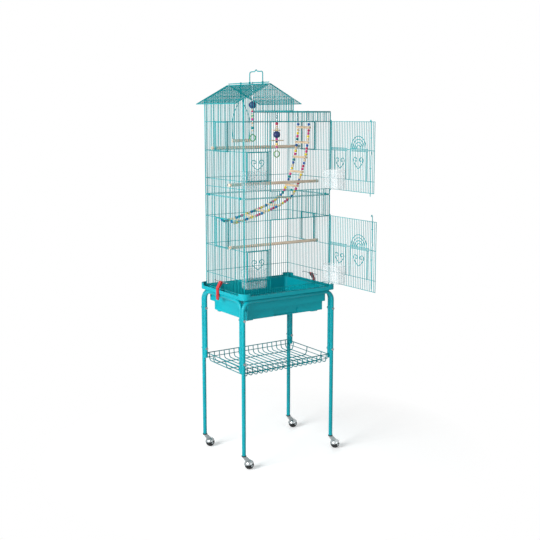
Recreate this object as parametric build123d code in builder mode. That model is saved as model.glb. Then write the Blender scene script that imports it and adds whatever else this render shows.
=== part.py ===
from build123d import *
from math import atan2, cos, hypot, radians, sin, tan
import os

# Parrot cage on a rolling stand, in millimetres, +Z up, standing on its casters at z = 0.
# Its parts are drawn about the middle of the cage, and the middle of the whole
# object, with its two doors open, is the origin.

# Wire and cage
wire = 2.2
frame_wire = 3.2
cage_half_w = 207
cage_half_d = 152
wire_pitch = 11
wall_foot_z = 700
joint_z = 1091
flat_top_z = 1423
lower_rails = [769, 886, 1003]
upper_rails = [1158, 1270, 1384]
left_wall_rail_z = 1127

# Roof: a ridge along Y over the left part of the cage
ridge_x = -91.5
gable_peak_z = 1531
roof_slope = 0.521
roof_right_x = 24
eave_run = 153.5
ridge_rod_r = 2

roof_rails = [0.28, 0.62]

# Doors in the front wall
door_reach = 292.5
door_play = 0.5
door_overlap = 3.5
knuckle_r = 3.2
pin_r = 1.5
pin_play = 0.06
doors = {"lower": (728, 1006, 90), "upper": (1113, 1387, 87)}
knuckle_tall = 12
lug_gap = 0.6
lug_tall = 4

door_edge = 2
door_rail_low = 46
door_rail_high = 159
double_rail = 9
door_posts = [24, 100, 130, 238]
heart_x = [64, 187]
heart_z = 86
heart_half = 30
heart_tall = 44
arch_rs = [50, 38, 26, 14]
cup_from_hinge = 8
cup_lift = 4.5

# Latch rods
rod_eyes = {"lower": (124, 244), "upper": (94, 210)}
jog_half = 9
jog_out = 6
hook = 7
rod_bend = 4
rod_r = 1.5
rod_along = 262
rod_long = 292
rod_drop = 21
rod_lift = {"lower": 31, "upper": 9}
keeper_drop = 13.5
keeper_half = 4
keeper_play = 0.35
rod_out = 5
rod_eye = 3.4
rod_play = 0.08

# Sliding doors
feeder_heart_z = 43
feeder_heart_half = 27
feeder_heart_tall = 38
slide_edge = 5
slide_gap = 0.3
slide_thick = 3
channel = 2.4
channel_lip = 2
feeder_x = (-198, -96)
feeder_z = {"lower": (768, 888), "upper": (1157, 1272)}
side_door_wide = 98
side_door_z = {"lower": (885, 1005), "upper": (1269, 1386)}
side_door_y = {"left": 16, "right": 4}

# Feeding cups
cup_wide = 103
cup_deep = 50
cup_tall = 78
cup_wall = 2

# Base tray and drawer
shell = 2.5
flange_z = 697
flange_thick = 3
inner_rim_z = 709
lip_z = 712
corner_lip_z = 722
rim_half_w = 228
rim_half_d = 172
tray_half_w = 197
tray_half_d = 147
step_z = 648
well_half_w = 187
well_half_d = 127
well_z = 610
foot_z = 602
drawer_front_thick = 8
drawer_play = 0.4
drawer_tall = 28

drawer_half_w = 178
drawer_front_half = 184
drawer_long = 244
slot_half = 59
slot_tall = 22
slot_deep = 5
pan_corner = 14
rim_corner = 26
corner_run = 34
foot_x = 160
foot_y = 105
foot_wide = 34
foot_deep = 20
foot_corner = 5

# Stand
tube_gap = 0.2
tube_r = 8
tube_wall = 1.5
leg_x = 218
leg_y = 157.5
bend_r = 37
leg_foot_z = 62
short_leg_z = 401
bolt_r = 2.5
bolt_rows = [440, 615]
bolt_head_r = 5.5
bolt_head = 3

# Storage basket
basket_z = 420
basket_half_w = 208
basket_half_d = 153
basket_deep = 38
basket_wires = 17
basket_long_wires = 3
basket_rim = 4
basket_slant = 12
basket_play = 0.1
basket_ear_wide = 5

# Casters
ball_r = 19
trail = 25
hood_gap = 0.6
hood_thick = 1.4
axle_r = 2.4
stem_r = 3
caster_play = 0.08

disc_r = 9
disc_thick = 4
plug_flange = 4
plug_top = 84
neck_half = 5
neck_in = 4
neck_drop = 3
hood_tilt = radians(40)
hood_skirt = 4
ball_flat = 2

# Handle, perches, swing, toys and ladder
handle_peak = 7
perch_end = 10
eye_more = 0.3
swing_neck_z = 1478
swing_shoulder_z = 1395
swing_bend = 6
swing_neck = 2
swing_in = 5
ring_r = 15
ring_wire = 3.6
handle_r = 2.2
handle_y = (-105, -12)
handle_top_z = 1587
perch_r = 6
perch_tenon_r = 3.4
perches_at = [(-55, 892), (-55, 1140), (81, 1280)]
swing_y = 55
swing_z = 1308
swing_half = 42
hanger_r = 1.5
ladder_half = 38
ladder_r = 1.5
ladder_at = [
    (181, 1361), (169, 1258), (140, 1160), (104, 1086), (50, 1052), (-38, 1022), (-120, 1000), (-188, 986)
]
ladder_top_x = 180
ladder_end_z = 1003
rung_pitch = 62
rung_long = 92
rung_r = 4.5
bead_r = 6
bead_play = 0.2

# Section clips, red tray clips and their wires
clip_along = 118
clip_half = 3
clip_thick = 1.6
red_clip_wide = 18
red_clip_thick = 3.4
clip_clear = 0.6
clip_shoulder = 22
clip_foot_z = 672
red_clip_y = {"left": 18, "right": -12}
clip_wire_r = 1.5
clip_wire_z = 744
clip_wire_half = 50
clip_wire_out = 8

# Toys: where each hangs, the foot of its wire, and the height and radius of its beads
toy_left_y = -32
toy_left_low = 1336
toy_left_beads = [(1450, 15.6), (1426, 7), (1411, 7), (1397, 6), (1362, 7)]
toy_right_x = 47
toy_right_y = 0
toy_right_low = 1268
toy_right_beads = [(1376, 7), (1358, 8), (1332, 15), (1312, 5), (1302, 4.5), (1290, 6)]
wire_eye_play = 0.6

# Middle of the whole object, from the left eave, the right casters, the back casters
# and the open lower door
tilt = atan2(roof_slope, 1)
hood_out = ball_r + hood_gap + hood_thick
left_reach = ridge_x - eave_run - frame_wire / 2 * sin(tilt)
right_reach = leg_x + trail + ball_r
back_reach = leg_y + hood_out
hinge_x = cage_half_w - frame_wire / 2
hinge_y = -(cage_half_d + door_play + knuckle_r)
front_reach = hinge_y - door_reach
mid_x = -(left_reach + right_reach) / 2
mid_y = -(front_reach + back_reach) / 2


def level(z):
    """A plane at height z, with its origin in the middle of the cage."""
    return Plane((mid_x, mid_y, z))


def facing_front(y):
    """An upright plane that faces the front: x to the right, z up."""
    return Plane((mid_x, mid_y + y, 0), x_dir=(1, 0, 0), z_dir=(0, -1, 0))


def facing_right(x):
    """An upright plane that faces right: its x runs to the back, z up."""
    return Plane((mid_x + x, mid_y, 0), x_dir=(0, 1, 0), z_dir=(1, 0, 0))


def facing_left(x):
    """An upright plane that faces left: its x runs to the front, z up."""
    return Plane((mid_x + x, mid_y, 0), x_dir=(0, -1, 0), z_dir=(-1, 0, 0))


def even_steps(low, high, pitch):
    """Evenly spaced places between two frame wires, near the given pitch."""
    bays = round((high - low) / pitch)
    return [low + (high - low) * i / bays for i in range(1, bays)]


def nearest(places, place):
    """The one of several places that lies nearest to a given one."""
    return min(places, key=lambda p: abs(p - place))


def bar(plane, x0, x1, z0, z1, near, far, mode=Mode.ADD):
    """A straight bar: its outline on the plane, from near to far along the normal."""
    with BuildSketch(plane.offset(near)) as section:
        with Locations(((x0 + x1) / 2, (z0 + z1) / 2)):
            Rectangle(x1 - x0, z1 - z0)
    extrude(section.sketch, amount=far - near, mode=mode)


def grille(plane, outline, rails):
    """Crossed square wires inside an outline, with a thicker frame wire round it."""
    xs = [x for x, z in outline]
    zs = [z for x, z in outline]
    x0, x1, z0, z1 = min(xs), max(xs), min(zs), max(zs)
    with BuildSketch(plane.offset(-wire / 2)) as uprights:
        with Locations(*[(x, (z0 + z1) / 2) for x in even_steps(x0, x1, wire_pitch)]):
            Rectangle(wire, z1 - z0)
        with BuildLine():
            Polyline(*outline, close=True)
        make_face(mode=Mode.INTERSECT)
    extrude(uprights.sketch, amount=wire)
    for z in rails:
        bar(plane, x0 + frame_wire / 2, x1 - frame_wire / 2, z - wire / 2, z + wire / 2, -wire / 2, wire / 2)
    with BuildSketch(plane.offset(-frame_wire / 2)) as frame:
        with BuildLine():
            Polyline(*outline, close=True)
        make_face()
        offset(amount=-frame_wire, kind=Kind.INTERSECTION, mode=Mode.SUBTRACT)
    extrude(frame.sketch, amount=frame_wire)


def box_outline(x0, x1, z0, z1):
    """The four corners of a plain panel."""
    return [(x0, z0), (x1, z0), (x1, z1), (x0, z1)]


def doorway(plane, x0, x1, z0, z1):
    """A framed opening through a grille."""
    bar(plane, x0, x1, z0, z1, -frame_wire, frame_wire, mode=Mode.SUBTRACT)
    with BuildSketch(plane.offset(-frame_wire / 2)) as frame:
        with Locations(((x0 + x1) / 2, (z0 + z1) / 2)):
            Rectangle(x1 - x0 + 2 * frame_wire, z1 - z0 + 2 * frame_wire)
            Rectangle(x1 - x0, z1 - z0, mode=Mode.SUBTRACT)
    extrude(frame.sketch, amount=frame_wire)


def slide_way(plane, x0, x1, z0, z1):
    """The doorway of a sliding door, its two side channels and the sill that it rests on."""
    doorway(plane, x0 + door_overlap, x1 - door_overlap, z0 + door_overlap, z1 - door_overlap)
    door_back = frame_wire / 2 + slide_gap
    lip_back = door_back + slide_thick + slide_gap
    for edge, way in ((x0, -1), (x1, 1)):
        web = sorted((edge + way * slide_gap, edge + way * (slide_gap + channel)))
        lip = sorted((edge - way * channel_lip, edge + way * (slide_gap + channel)))
        bar(plane, *web, z0 - channel, z1 + channel, 0, lip_back + channel)
        bar(plane, *lip, z0 - channel, z1 + channel, lip_back, lip_back + channel)
    bar(plane, x0, x1, z0 - channel, z0, 0, door_back + slide_thick)


def slide_plane(plane):
    """The middle of a sliding door, in front of its wall's plane."""
    return plane.offset(frame_wire / 2 + slide_gap + slide_thick / 2)


def sliding_door(plane, x0, x1, z0, z1):
    """A small wired door that slides up in its channels and is lifted by its thick top edge."""
    on_door = slide_plane(plane)
    with BuildSketch(on_door.offset(-wire / 2)) as wires:
        with Locations(*[(x, (z0 + z1) / 2) for x in even_steps(x0, x1, wire_pitch)]):
            Rectangle(wire, z1 - z0)
    extrude(wires.sketch, amount=wire)
    with BuildSketch(on_door.offset(-slide_thick / 2)) as frame:
        with Locations(((x0 + x1) / 2, (z0 + z1) / 2)):
            Rectangle(x1 - x0, z1 - z0)
            Rectangle(x1 - x0 - 2 * frame_wire, z1 - z0 - 2 * frame_wire, mode=Mode.SUBTRACT)
    extrude(frame.sketch, amount=slide_thick)
    side = 2 * channel_lip
    bar(on_door, x0 + side, x1 - side, z1 - slide_edge, z1, 0, slide_thick / 2 + slide_gap + channel)


def door_plane(name):
    """The open door's own plane: x from the hinge to the free edge, z up, normal to its inner face."""
    z0, z1, open_angle = doors[name]
    swing = radians(open_angle - 90)
    return Plane(
        (mid_x + hinge_x, mid_y + hinge_y, 0),
        x_dir=(sin(swing), -cos(swing), 0),
        z_dir=(-cos(swing), -sin(swing), 0),
    )


def cup(plane, x0, z0):
    """A feeding cup that hangs behind a plane, open at the top."""
    x1, z1 = x0 + cup_wide, z0 + cup_tall
    bar(plane, x0, x1, z0, z1, -cup_deep, 0)
    bar(
        plane, x0 + cup_wall, x1 - cup_wall, z0 + cup_wall, z1 + 1, -cup_deep + cup_wall, -cup_wall,
        mode=Mode.SUBTRACT,
    )


def front_doorway(name):
    """Main doorway with its hinge pin and latch keeper, and the feeding door beside it."""
    z0, z1, open_angle = doors[name]
    doorway(front_plane, *opening_x, z0 + door_overlap, z1 - door_overlap)
    slide_way(front_plane, *feeder_x, *feeder_z[name])
    pin_out = -hinge_y - cage_half_d + frame_wire / 2
    for low in (z0 - lug_gap - lug_tall, z1 + lug_gap):
        bar(
            front_plane, hinge_x - pin_r - lug_gap, hinge_x + pin_r, low, low + lug_tall,
            0, pin_out + pin_r,
        )
    with BuildSketch(level(z0 - lug_gap - lug_tall)) as pin:
        with Locations((hinge_x, hinge_y)):
            Circle(pin_r)
    extrude(pin.sketch, amount=z1 - z0 + 2 * (lug_gap + lug_tall))
    keeper_x = hinge_x - rod_along
    keeper_y = hinge_y - rod_out
    keeper_low = section_foot[name] + lug_gap
    bar(
        front_plane, keeper_x - keeper_half, keeper_x + keeper_half, keeper_low, z0 - keeper_drop,
        0, -keeper_y - cage_half_d + frame_wire / 2 + keeper_half,
    )
    with BuildSketch(level(keeper_low)) as socket:
        with Locations((keeper_x, keeper_y)):
            Circle(rod_r + keeper_play)
    extrude(socket.sketch, amount=z0 - keeper_drop - keeper_low, mode=Mode.SUBTRACT)


def side_door_span(side):
    """Both edges of a small side door, measured along its own wall's plane."""
    middle = side_door_y[side] * (1 if side == "right" else -1)
    return middle - side_door_wide / 2, middle + side_door_wide / 2


def heart(plane, x, z, half, tall):
    """A heart of wire on a grille: two humps over a point."""
    with BuildSketch(plane) as shape:
        for r in (wire / 2, -wire / 2):
            mode = Mode.ADD if r > 0 else Mode.SUBTRACT
            with BuildLine():
                hump = half / 2 + r / 2
                top = z + tall - hump
                RadiusArc((x - 2 * hump, top), (x, top), hump + 0.01)
                RadiusArc((x, top), (x + 2 * hump, top), hump + 0.01)
                Line((x + 2 * hump, top), (x, z - 1.4 * r))
                Line((x, z - 1.4 * r), (x - 2 * hump, top))
            make_face(mode=mode)
    extrude(shape.sketch, amount=wire / 2, both=True)


def bend_radii(points):
    """As wide a bend at each corner as the shorter of its two runs leaves room for."""
    radii = []
    for before, corner, after in zip(points, points[1:], points[2:]):
        run_in = Vector(*corner) - Vector(*before)
        run_out = Vector(*after) - Vector(*corner)
        turn = radians(run_in.get_angle(run_out))
        radii.append(0.45 * min(run_in.length, run_out.length) / tan(turn / 2))
    return radii


section_foot = {"lower": wall_foot_z, "upper": joint_z}
front_plane = facing_front(-cage_half_d + frame_wire / 2)
back_plane = facing_front(cage_half_d - frame_wire / 2)
left_plane = facing_left(-cage_half_w + frame_wire / 2)
right_plane = facing_right(cage_half_w - frame_wire / 2)
side_half = cage_half_d - frame_wire
side_wires = even_steps(-side_half, side_half, wire_pitch)
side_gaps = [(a + b) / 2 for a, b in zip(side_wires, side_wires[1:])]
wall_top_z = gable_peak_z - roof_slope * (ridge_x + cage_half_w)
gable = [
    (cage_half_w, joint_z),
    (cage_half_w, flat_top_z),
    (roof_right_x, flat_top_z),
    (roof_right_x, gable_peak_z - roof_slope * (roof_right_x - ridge_x)),
    (ridge_x, gable_peak_z),
    (-cage_half_w, wall_top_z),
    (-cage_half_w, joint_z),
]
ear_half = 4
rod_z = gable_peak_z + ridge_rod_r + 2.5
ridge_ear = (ridge_x - ear_half, ridge_x + ear_half, gable_peak_z - ear_half, rod_z + ear_half)
ridge_gap = 6
opening_x = (hinge_x - door_reach + frame_wire, cage_half_w - frame_wire)

pieces = []


def finish(piece, label):
    """Name a finished piece and keep it for writing."""
    piece.part.label = label
    pieces.append(piece)


# Walls of the lower section: a front with its doorways, a back, and two sides between them
with BuildPart() as wall_front_lower:
    grille(front_plane, box_outline(-cage_half_w, cage_half_w, wall_foot_z, joint_z), lower_rails)
    front_doorway("lower")
finish(wall_front_lower, "wall_front_lower")

with BuildPart() as wall_back_lower:
    grille(back_plane, box_outline(-cage_half_w, cage_half_w, wall_foot_z, joint_z), lower_rails)
finish(wall_back_lower, "wall_back_lower")

for side, plane in (("left", left_plane), ("right", right_plane)):
    with BuildPart() as wall_side_lower:
        grille(plane, box_outline(-side_half, side_half, wall_foot_z, joint_z), lower_rails)
        slide_way(plane, *side_door_span(side), *side_door_z["lower"])
    finish(wall_side_lower, f"wall_{side}_lower")

# Walls of the upper section: the front and back rise into a gable at the left
with BuildPart() as wall_front_upper:
    grille(front_plane, gable, upper_rails)
    front_doorway("upper")
    bar(front_plane, *ridge_ear, -frame_wire / 2, frame_wire / 2)
finish(wall_front_upper, "wall_front_upper")

with BuildPart() as wall_back_upper:
    grille(back_plane, gable, upper_rails)
    bar(back_plane, *ridge_ear, -frame_wire / 2, frame_wire / 2)
finish(wall_back_upper, "wall_back_upper")

with BuildPart() as wall_left_upper:
    rails = [left_wall_rail_z] + upper_rails
    grille(left_plane, box_outline(-side_half, side_half, joint_z, wall_top_z), rails)
    slide_way(left_plane, *side_door_span("left"), *side_door_z["upper"])
finish(wall_left_upper, "wall_left_upper")

with BuildPart() as wall_right_upper:
    grille(right_plane, box_outline(-side_half, side_half, joint_z, flat_top_z), upper_rails)
    slide_way(right_plane, *side_door_span("right"), *side_door_z["upper"])
finish(wall_right_upper, "wall_right_upper")

# Clips closed round both frames where the two sections meet
with BuildPart() as section_clips:
    low = joint_z - frame_wire
    high = joint_z + frame_wire
    for plane in (left_plane, right_plane):
        for along in (nearest(side_gaps, -clip_along), nearest(side_gaps, clip_along)):
            x0, x1 = along - clip_half, along + clip_half
            for near in (frame_wire / 2, -frame_wire / 2 - clip_thick):
                bar(plane, x0, x1, low - clip_thick, high + clip_thick, near, near + clip_thick)
            bar(plane, x0, x1, low - clip_thick, low, -frame_wire / 2, frame_wire / 2)
            bar(plane, x0, x1, high, high + clip_thick, -frame_wire / 2, frame_wire / 2)
finish(section_clips, "section_clips")

# Roof: two sloping grilles that lie on the gables, the ridge rod between them,
# a flat top, and the low wall that stands where the roof meets it
slope_length = eave_run * hypot(1, roof_slope)
roof_origin_z = gable_peak_z + frame_wire / 2 * hypot(1, roof_slope)
for side, label in ((-1, "roof_left"), (1, "roof_right")):
    slope = Plane(
        (mid_x + ridge_x, mid_y, roof_origin_z),
        x_dir=(0, -side, 0),
        z_dir=(side * sin(tilt), 0, cos(tilt)),
    )
    with BuildPart() as roof:
        outline = box_outline(-cage_half_d, cage_half_d, ridge_gap, slope_length)
        grille(slope, outline, [slope_length * share for share in roof_rails])
    finish(roof, label)

with BuildPart() as ridge_rod:
    with BuildSketch(facing_front(-side_half)) as section:
        with Locations((ridge_x, rod_z)):
            Circle(ridge_rod_r)
    extrude(section.sketch, amount=-2 * side_half)
finish(ridge_rod, "ridge_rod")

with BuildPart() as flat_top:
    outline = box_outline(roof_right_x, cage_half_w, -cage_half_d, cage_half_d)
    grille(level(flat_top_z + frame_wire / 2), outline, [-side_half / 3, side_half / 3])
finish(flat_top, "flat_top")

with BuildPart() as roof_side:
    top = gable_peak_z - roof_slope * (roof_right_x - ridge_x)
    plane = facing_right(roof_right_x - frame_wire / 2)
    grille(plane, box_outline(-side_half, side_half, flat_top_z + frame_wire, top), [])
finish(roof_side, "roof_side")

# Carrying handle: a bail whose two eyes turn on the ridge rod
with BuildPart() as handle:
    ys = handle_y
    mid = sum(ys) / 2
    plane = facing_right(ridge_x)
    eye_r = ridge_rod_r + 3
    with BuildLine() as path:
        FilletPolyline(
            (plane.origin + Vector(0, ys[0], rod_z + ridge_rod_r + 1)),
            (plane.origin + Vector(0, ys[0], handle_top_z - handle_peak)),
            (plane.origin + Vector(0, mid, handle_top_z - handle_r)),
            (plane.origin + Vector(0, ys[1], handle_top_z - handle_peak)),
            (plane.origin + Vector(0, ys[1], rod_z + ridge_rod_r + 1)),
            radius=handle_peak,
        )
    with BuildSketch(Plane(path.line @ 0, z_dir=path.line % 0)):
        Circle(handle_r)
    sweep()
    for y in ys:
        with BuildSketch(facing_front(y - handle_r - eye_more)) as eye:
            with Locations((ridge_x, rod_z)):
                Circle(eye_r)
        extrude(eye.sketch, amount=-2 * (handle_r + eye_more))
        with BuildSketch(facing_front(y - 2 * handle_r)) as bore:
            with Locations((ridge_x, rod_z)):
                Circle(ridge_rod_r + pin_play)
        extrude(bore.sketch, amount=-4 * handle_r, mode=Mode.SUBTRACT)
finish(handle, "handle")

# Main doors: a grille whose hinge edge carries three knuckles, with two eyes for the latch rod
for name, (z0, z1, open_angle) in doors.items():
    plane = door_plane(name)
    with BuildPart() as door:
        edge = door_edge
        rails = [z0 + door_rail_low, z0 + door_rail_high, z0 + door_rail_high + double_rail]
        grille(plane, box_outline(edge, door_reach, z0, z1), rails)
        for x in door_posts:
            bar(plane, x, x + frame_wire, z0 + door_rail_low, z0 + door_rail_high, -wire / 2, wire / 2)
        for x in heart_x:
            heart(plane, x, z0 + heart_z, heart_half, heart_tall)
        for r in arch_rs:
            with BuildSketch(plane) as arch:
                with Locations((heart_x[1], z0 + door_rail_high + double_rail)):
                    Circle(r)
                    Circle(r - wire, mode=Mode.SUBTRACT)
                    with Locations((0, -r)):
                        Rectangle(2 * r + 1, 2 * r, mode=Mode.SUBTRACT)
            extrude(arch.sketch, amount=wire / 2, both=True)
        for z in (z0, (z0 + z1 - knuckle_tall) / 2, z1 - knuckle_tall):
            with BuildSketch(Plane(plane.origin + Vector(0, 0, z))) as knuckle:
                Circle(knuckle_r)
            extrude(knuckle.sketch, amount=knuckle_tall)
            with BuildSketch(Plane(plane.origin + Vector(0, 0, z))) as bore:
                Circle(pin_r + pin_play)
            extrude(bore.sketch, amount=knuckle_tall, mode=Mode.SUBTRACT)
        for z in (z0 + rod_eyes[name][0], z0 + rod_eyes[name][1]):
            bar(plane, rod_along - rod_eye, rod_along + rod_eye, z, z + rod_eye, -rod_out - rod_eye, 0)
            eye = Plane(plane.origin + Vector(0, 0, z), x_dir=plane.x_dir, z_dir=(0, 0, 1))
            with BuildSketch(eye) as bore:
                with Locations((rod_along, rod_out)):
                    Circle(rod_r + rod_play)
            extrude(bore.sketch, amount=rod_eye, mode=Mode.SUBTRACT)
    finish(door, f"door_{name}")

    with BuildPart() as latch:
        low = z0 - rod_drop + rod_lift[name]
        jog = z0 + (rod_eyes[name][0] + rod_eyes[name][1] + rod_eye) / 2
        on_rod = plane.offset(-rod_out)
        at = [
            (rod_along, low),
            (rod_along, jog - jog_half),
            (rod_along + jog_out, jog),
            (rod_along, jog + jog_half),
            (rod_along, low + rod_long),
            (rod_along - hook, low + rod_long),
        ]
        with BuildLine() as path:
            FilletPolyline(*[on_rod.from_local_coords((x, z, 0)) for x, z in at], radius=rod_bend)
        with BuildSketch(Plane(path.line @ 0, z_dir=path.line % 0)):
            Circle(rod_r)
        sweep()
    finish(latch, f"latch_{name}")

    with BuildPart() as door_cup:
        cup(plane.offset(wire / 2 + cup_deep), cup_from_hinge, z0 + cup_lift)
    finish(door_cup, f"door_cup_{name}")

# Feeding cups behind the front wall, and the sliding doors above them
for name in doors:
    with BuildPart() as feeding_cup:
        cup(front_plane.offset(-frame_wire / 2), feeder_x[0], doors[name][0] + cup_lift)
    finish(feeding_cup, f"feeding_cup_{name}")

    with BuildPart() as feeder_door:
        sliding_door(front_plane, *feeder_x, *feeder_z[name])
        heart_low = feeder_z[name][0] + feeder_heart_z
        heart(slide_plane(front_plane), sum(feeder_x) / 2, heart_low, feeder_heart_half, feeder_heart_tall)
    finish(feeder_door, f"feeder_door_{name}")

    for side, plane in (("left", left_plane), ("right", right_plane)):
        with BuildPart() as side_door:
            sliding_door(plane, *side_door_span(side), *side_door_z[name])
        finish(side_door, f"side_door_{side}_{name}")

# Base tray: a deep pan with a flange and an upturned lip, and a lower well for the drawer
with BuildPart() as base_tray:
    with BuildSketch(level(step_z)) as pan:
        RectangleRounded(2 * tray_half_w, 2 * tray_half_d, pan_corner)
    extrude(pan.sketch, amount=inner_rim_z - step_z)
    with BuildSketch(level(well_z)) as well:
        RectangleRounded(2 * well_half_w, 2 * well_half_d, pan_corner)
    extrude(well.sketch, amount=step_z - well_z)
    with BuildSketch(level(flange_z)) as flange:
        RectangleRounded(2 * rim_half_w, 2 * rim_half_d, rim_corner)
    extrude(flange.sketch, amount=flange_thick)
    with BuildSketch(level(flange_z)) as lip:
        RectangleRounded(2 * rim_half_w, 2 * rim_half_d, rim_corner)
        RectangleRounded(
            2 * (rim_half_w - shell), 2 * (rim_half_d - shell), rim_corner - shell, mode=Mode.SUBTRACT
        )
    extrude(lip.sketch, amount=lip_z - flange_z)
    with BuildSketch(level(flange_z)) as corners:
        RectangleRounded(2 * rim_half_w, 2 * rim_half_d, rim_corner)
        RectangleRounded(
            2 * (rim_half_w - shell), 2 * (rim_half_d - shell), rim_corner - shell, mode=Mode.SUBTRACT
        )
        with GridLocations(2 * rim_half_w, 2 * rim_half_d, 2, 2):
            Rectangle(2 * corner_run, 2 * corner_run, mode=Mode.INTERSECT)
    extrude(corners.sketch, amount=corner_lip_z - flange_z)
    with BuildSketch(level(step_z + shell)) as pan_hollow:
        RectangleRounded(2 * (tray_half_w - shell), 2 * (tray_half_d - shell), pan_corner - shell)
    extrude(pan_hollow.sketch, amount=inner_rim_z - step_z, mode=Mode.SUBTRACT)
    with BuildSketch(level(well_z + shell)) as well_hollow:
        RectangleRounded(2 * (well_half_w - shell), 2 * (well_half_d - shell), pan_corner - shell)
    extrude(well_hollow.sketch, amount=step_z - well_z, mode=Mode.SUBTRACT)
    mouth = facing_front(-well_half_d)
    bar(
        mouth, -drawer_half_w - drawer_play, drawer_half_w + drawer_play,
        well_z + shell, well_z + shell + drawer_tall + drawer_play, -2 * pan_corner, 1,
        mode=Mode.SUBTRACT,
    )
    with BuildSketch(level(foot_z)) as feet:
        with GridLocations(2 * foot_x, 2 * foot_y, 2, 2):
            RectangleRounded(foot_wide, foot_deep, foot_corner)
    extrude(feet.sketch, amount=well_z - foot_z)
finish(base_tray, "base_tray")

# Drawer: a shallow pan that slides on the floor of the well, with a thick front and a finger slot
with BuildPart() as drawer:
    floor = well_z + shell
    mouth = facing_front(-well_half_d)
    bar(mouth, -drawer_half_w, drawer_half_w, floor, floor + drawer_tall, -drawer_long, 0)
    bar(
        mouth, -drawer_half_w + shell, drawer_half_w - shell, floor + shell, floor + drawer_tall + 1,
        -drawer_long + shell, -shell, mode=Mode.SUBTRACT,
    )
    bar(
        mouth, -drawer_front_half, drawer_front_half, well_z, step_z - drawer_play,
        0, drawer_front_thick,
    )
    bar(
        mouth, -slot_half, slot_half, well_z + shell, well_z + shell + slot_tall,
        drawer_front_thick - slot_deep, drawer_front_thick, mode=Mode.SUBTRACT,
    )
finish(drawer, "drawer")

# Red clips: levers that turn on wires on the side walls and reach down over the tray's lip
clip_wall = cage_half_w - frame_wire / 2 + wire / 2
pivot = clip_wall + clip_wire_out
with BuildPart() as clip_wires:
    for side, out in (("left", -1), ("right", 1)):
        ends = [nearest(side_wires, red_clip_y[side] + way * clip_wire_half) for way in (-1, 1)]
        at = [(clip_wall, ends[0]), (pivot, ends[0]), (pivot, ends[1]), (clip_wall, ends[1])]
        with BuildLine() as path:
            FilletPolyline(
                *[(mid_x + out * x, mid_y + y, clip_wire_z) for x, y in at], radius=2 * clip_wire_r
            )
        with BuildSketch(Plane(path.line @ 0, z_dir=path.line % 0)) as section:
            Circle(clip_wire_r)
        sweep(section.sketch, path=path.line)
finish(clip_wires, "clip_wires")

for side, out in (("left", -1), ("right", 1)):
    middle = red_clip_y[side]
    with BuildPart() as clip:
        plane = facing_front(middle - red_clip_wide / 2)
        reach = rim_half_w + clip_clear
        outer = [
            (pivot - red_clip_thick, clip_wire_z + red_clip_thick),
            (pivot + red_clip_thick, clip_wire_z + red_clip_thick),
            (reach + red_clip_thick, clip_wire_z - clip_shoulder),
            (reach + red_clip_thick, clip_foot_z),
            (reach, clip_foot_z),
            (reach, clip_wire_z - clip_shoulder - red_clip_thick),
            (pivot - red_clip_thick, clip_wire_z - red_clip_thick),
        ]
        with BuildSketch(plane) as section:
            with BuildLine():
                Polyline(*[(out * x, z) for x, z in outer], close=True)
            make_face()
            with Locations((out * pivot, clip_wire_z)):
                Circle(clip_wire_r + pin_play, mode=Mode.SUBTRACT)
        extrude(section.sketch, amount=-red_clip_wide)
    finish(clip, f"red_clip_{side}")

# Stand: two long U tubes reach the casters, two short ones stand between them on the sides
def u_tube(points):
    """A round tube bent into a U, hollow from end to end."""
    with BuildLine() as path:
        FilletPolyline(*points, radius=bend_r)
    with BuildSketch(Plane(path.line @ 0, z_dir=path.line % 0)) as ring:
        Circle(tube_r)
        Circle(tube_r - tube_wall, mode=Mode.SUBTRACT)
    sweep(ring.sketch, path=path.line)


def bolt_holes(x):
    """Holes along Y for the bolts of both legs on one side."""
    for z in bolt_rows:
        with BuildSketch(facing_front(-leg_y - 2 * tube_r)) as hole:
            with Locations((x, z)):
                Circle(bolt_r)
        extrude(hole.sketch, amount=-2 * (leg_y + 2 * tube_r), mode=Mode.SUBTRACT)


tube_top = flange_z - tube_r
short_leg_y = leg_y - 2 * tube_r - tube_gap
for side, y in (("front", -leg_y), ("back", leg_y)):
    with BuildPart() as long_tube:
        u_tube([
            (mid_x - leg_x, mid_y + y, leg_foot_z),
            (mid_x - leg_x, mid_y + y, tube_top),
            (mid_x + leg_x, mid_y + y, tube_top),
            (mid_x + leg_x, mid_y + y, leg_foot_z),
        ])
        for x in (-leg_x, leg_x):
            bolt_holes(x)
    finish(long_tube, f"stand_{side}")

for side, x in (("left", -leg_x), ("right", leg_x)):
    with BuildPart() as short_tube:
        u_tube([
            (mid_x + x, mid_y - short_leg_y, short_leg_z),
            (mid_x + x, mid_y - short_leg_y, tube_top),
            (mid_x + x, mid_y + short_leg_y, tube_top),
            (mid_x + x, mid_y + short_leg_y, short_leg_z),
        ])
        bolt_holes(x)
    finish(short_tube, f"stand_{side}")

with BuildPart() as stand_bolts:
    grip = 4 * tube_r + tube_gap
    for y in (-leg_y - tube_r, short_leg_y - tube_r):
        for x in (-leg_x, leg_x):
            for z in bolt_rows:
                for near, far, r in (
                    (0, bolt_head, bolt_head_r), (-grip, 0, bolt_r), (-grip - bolt_head, -grip, bolt_head_r)
                ):
                    with BuildSketch(facing_front(y).offset(near)) as section:
                        with Locations((x, z)):
                            Circle(r)
                    extrude(section.sketch, amount=far - near)
finish(stand_bolts, "stand_bolts")

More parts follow.
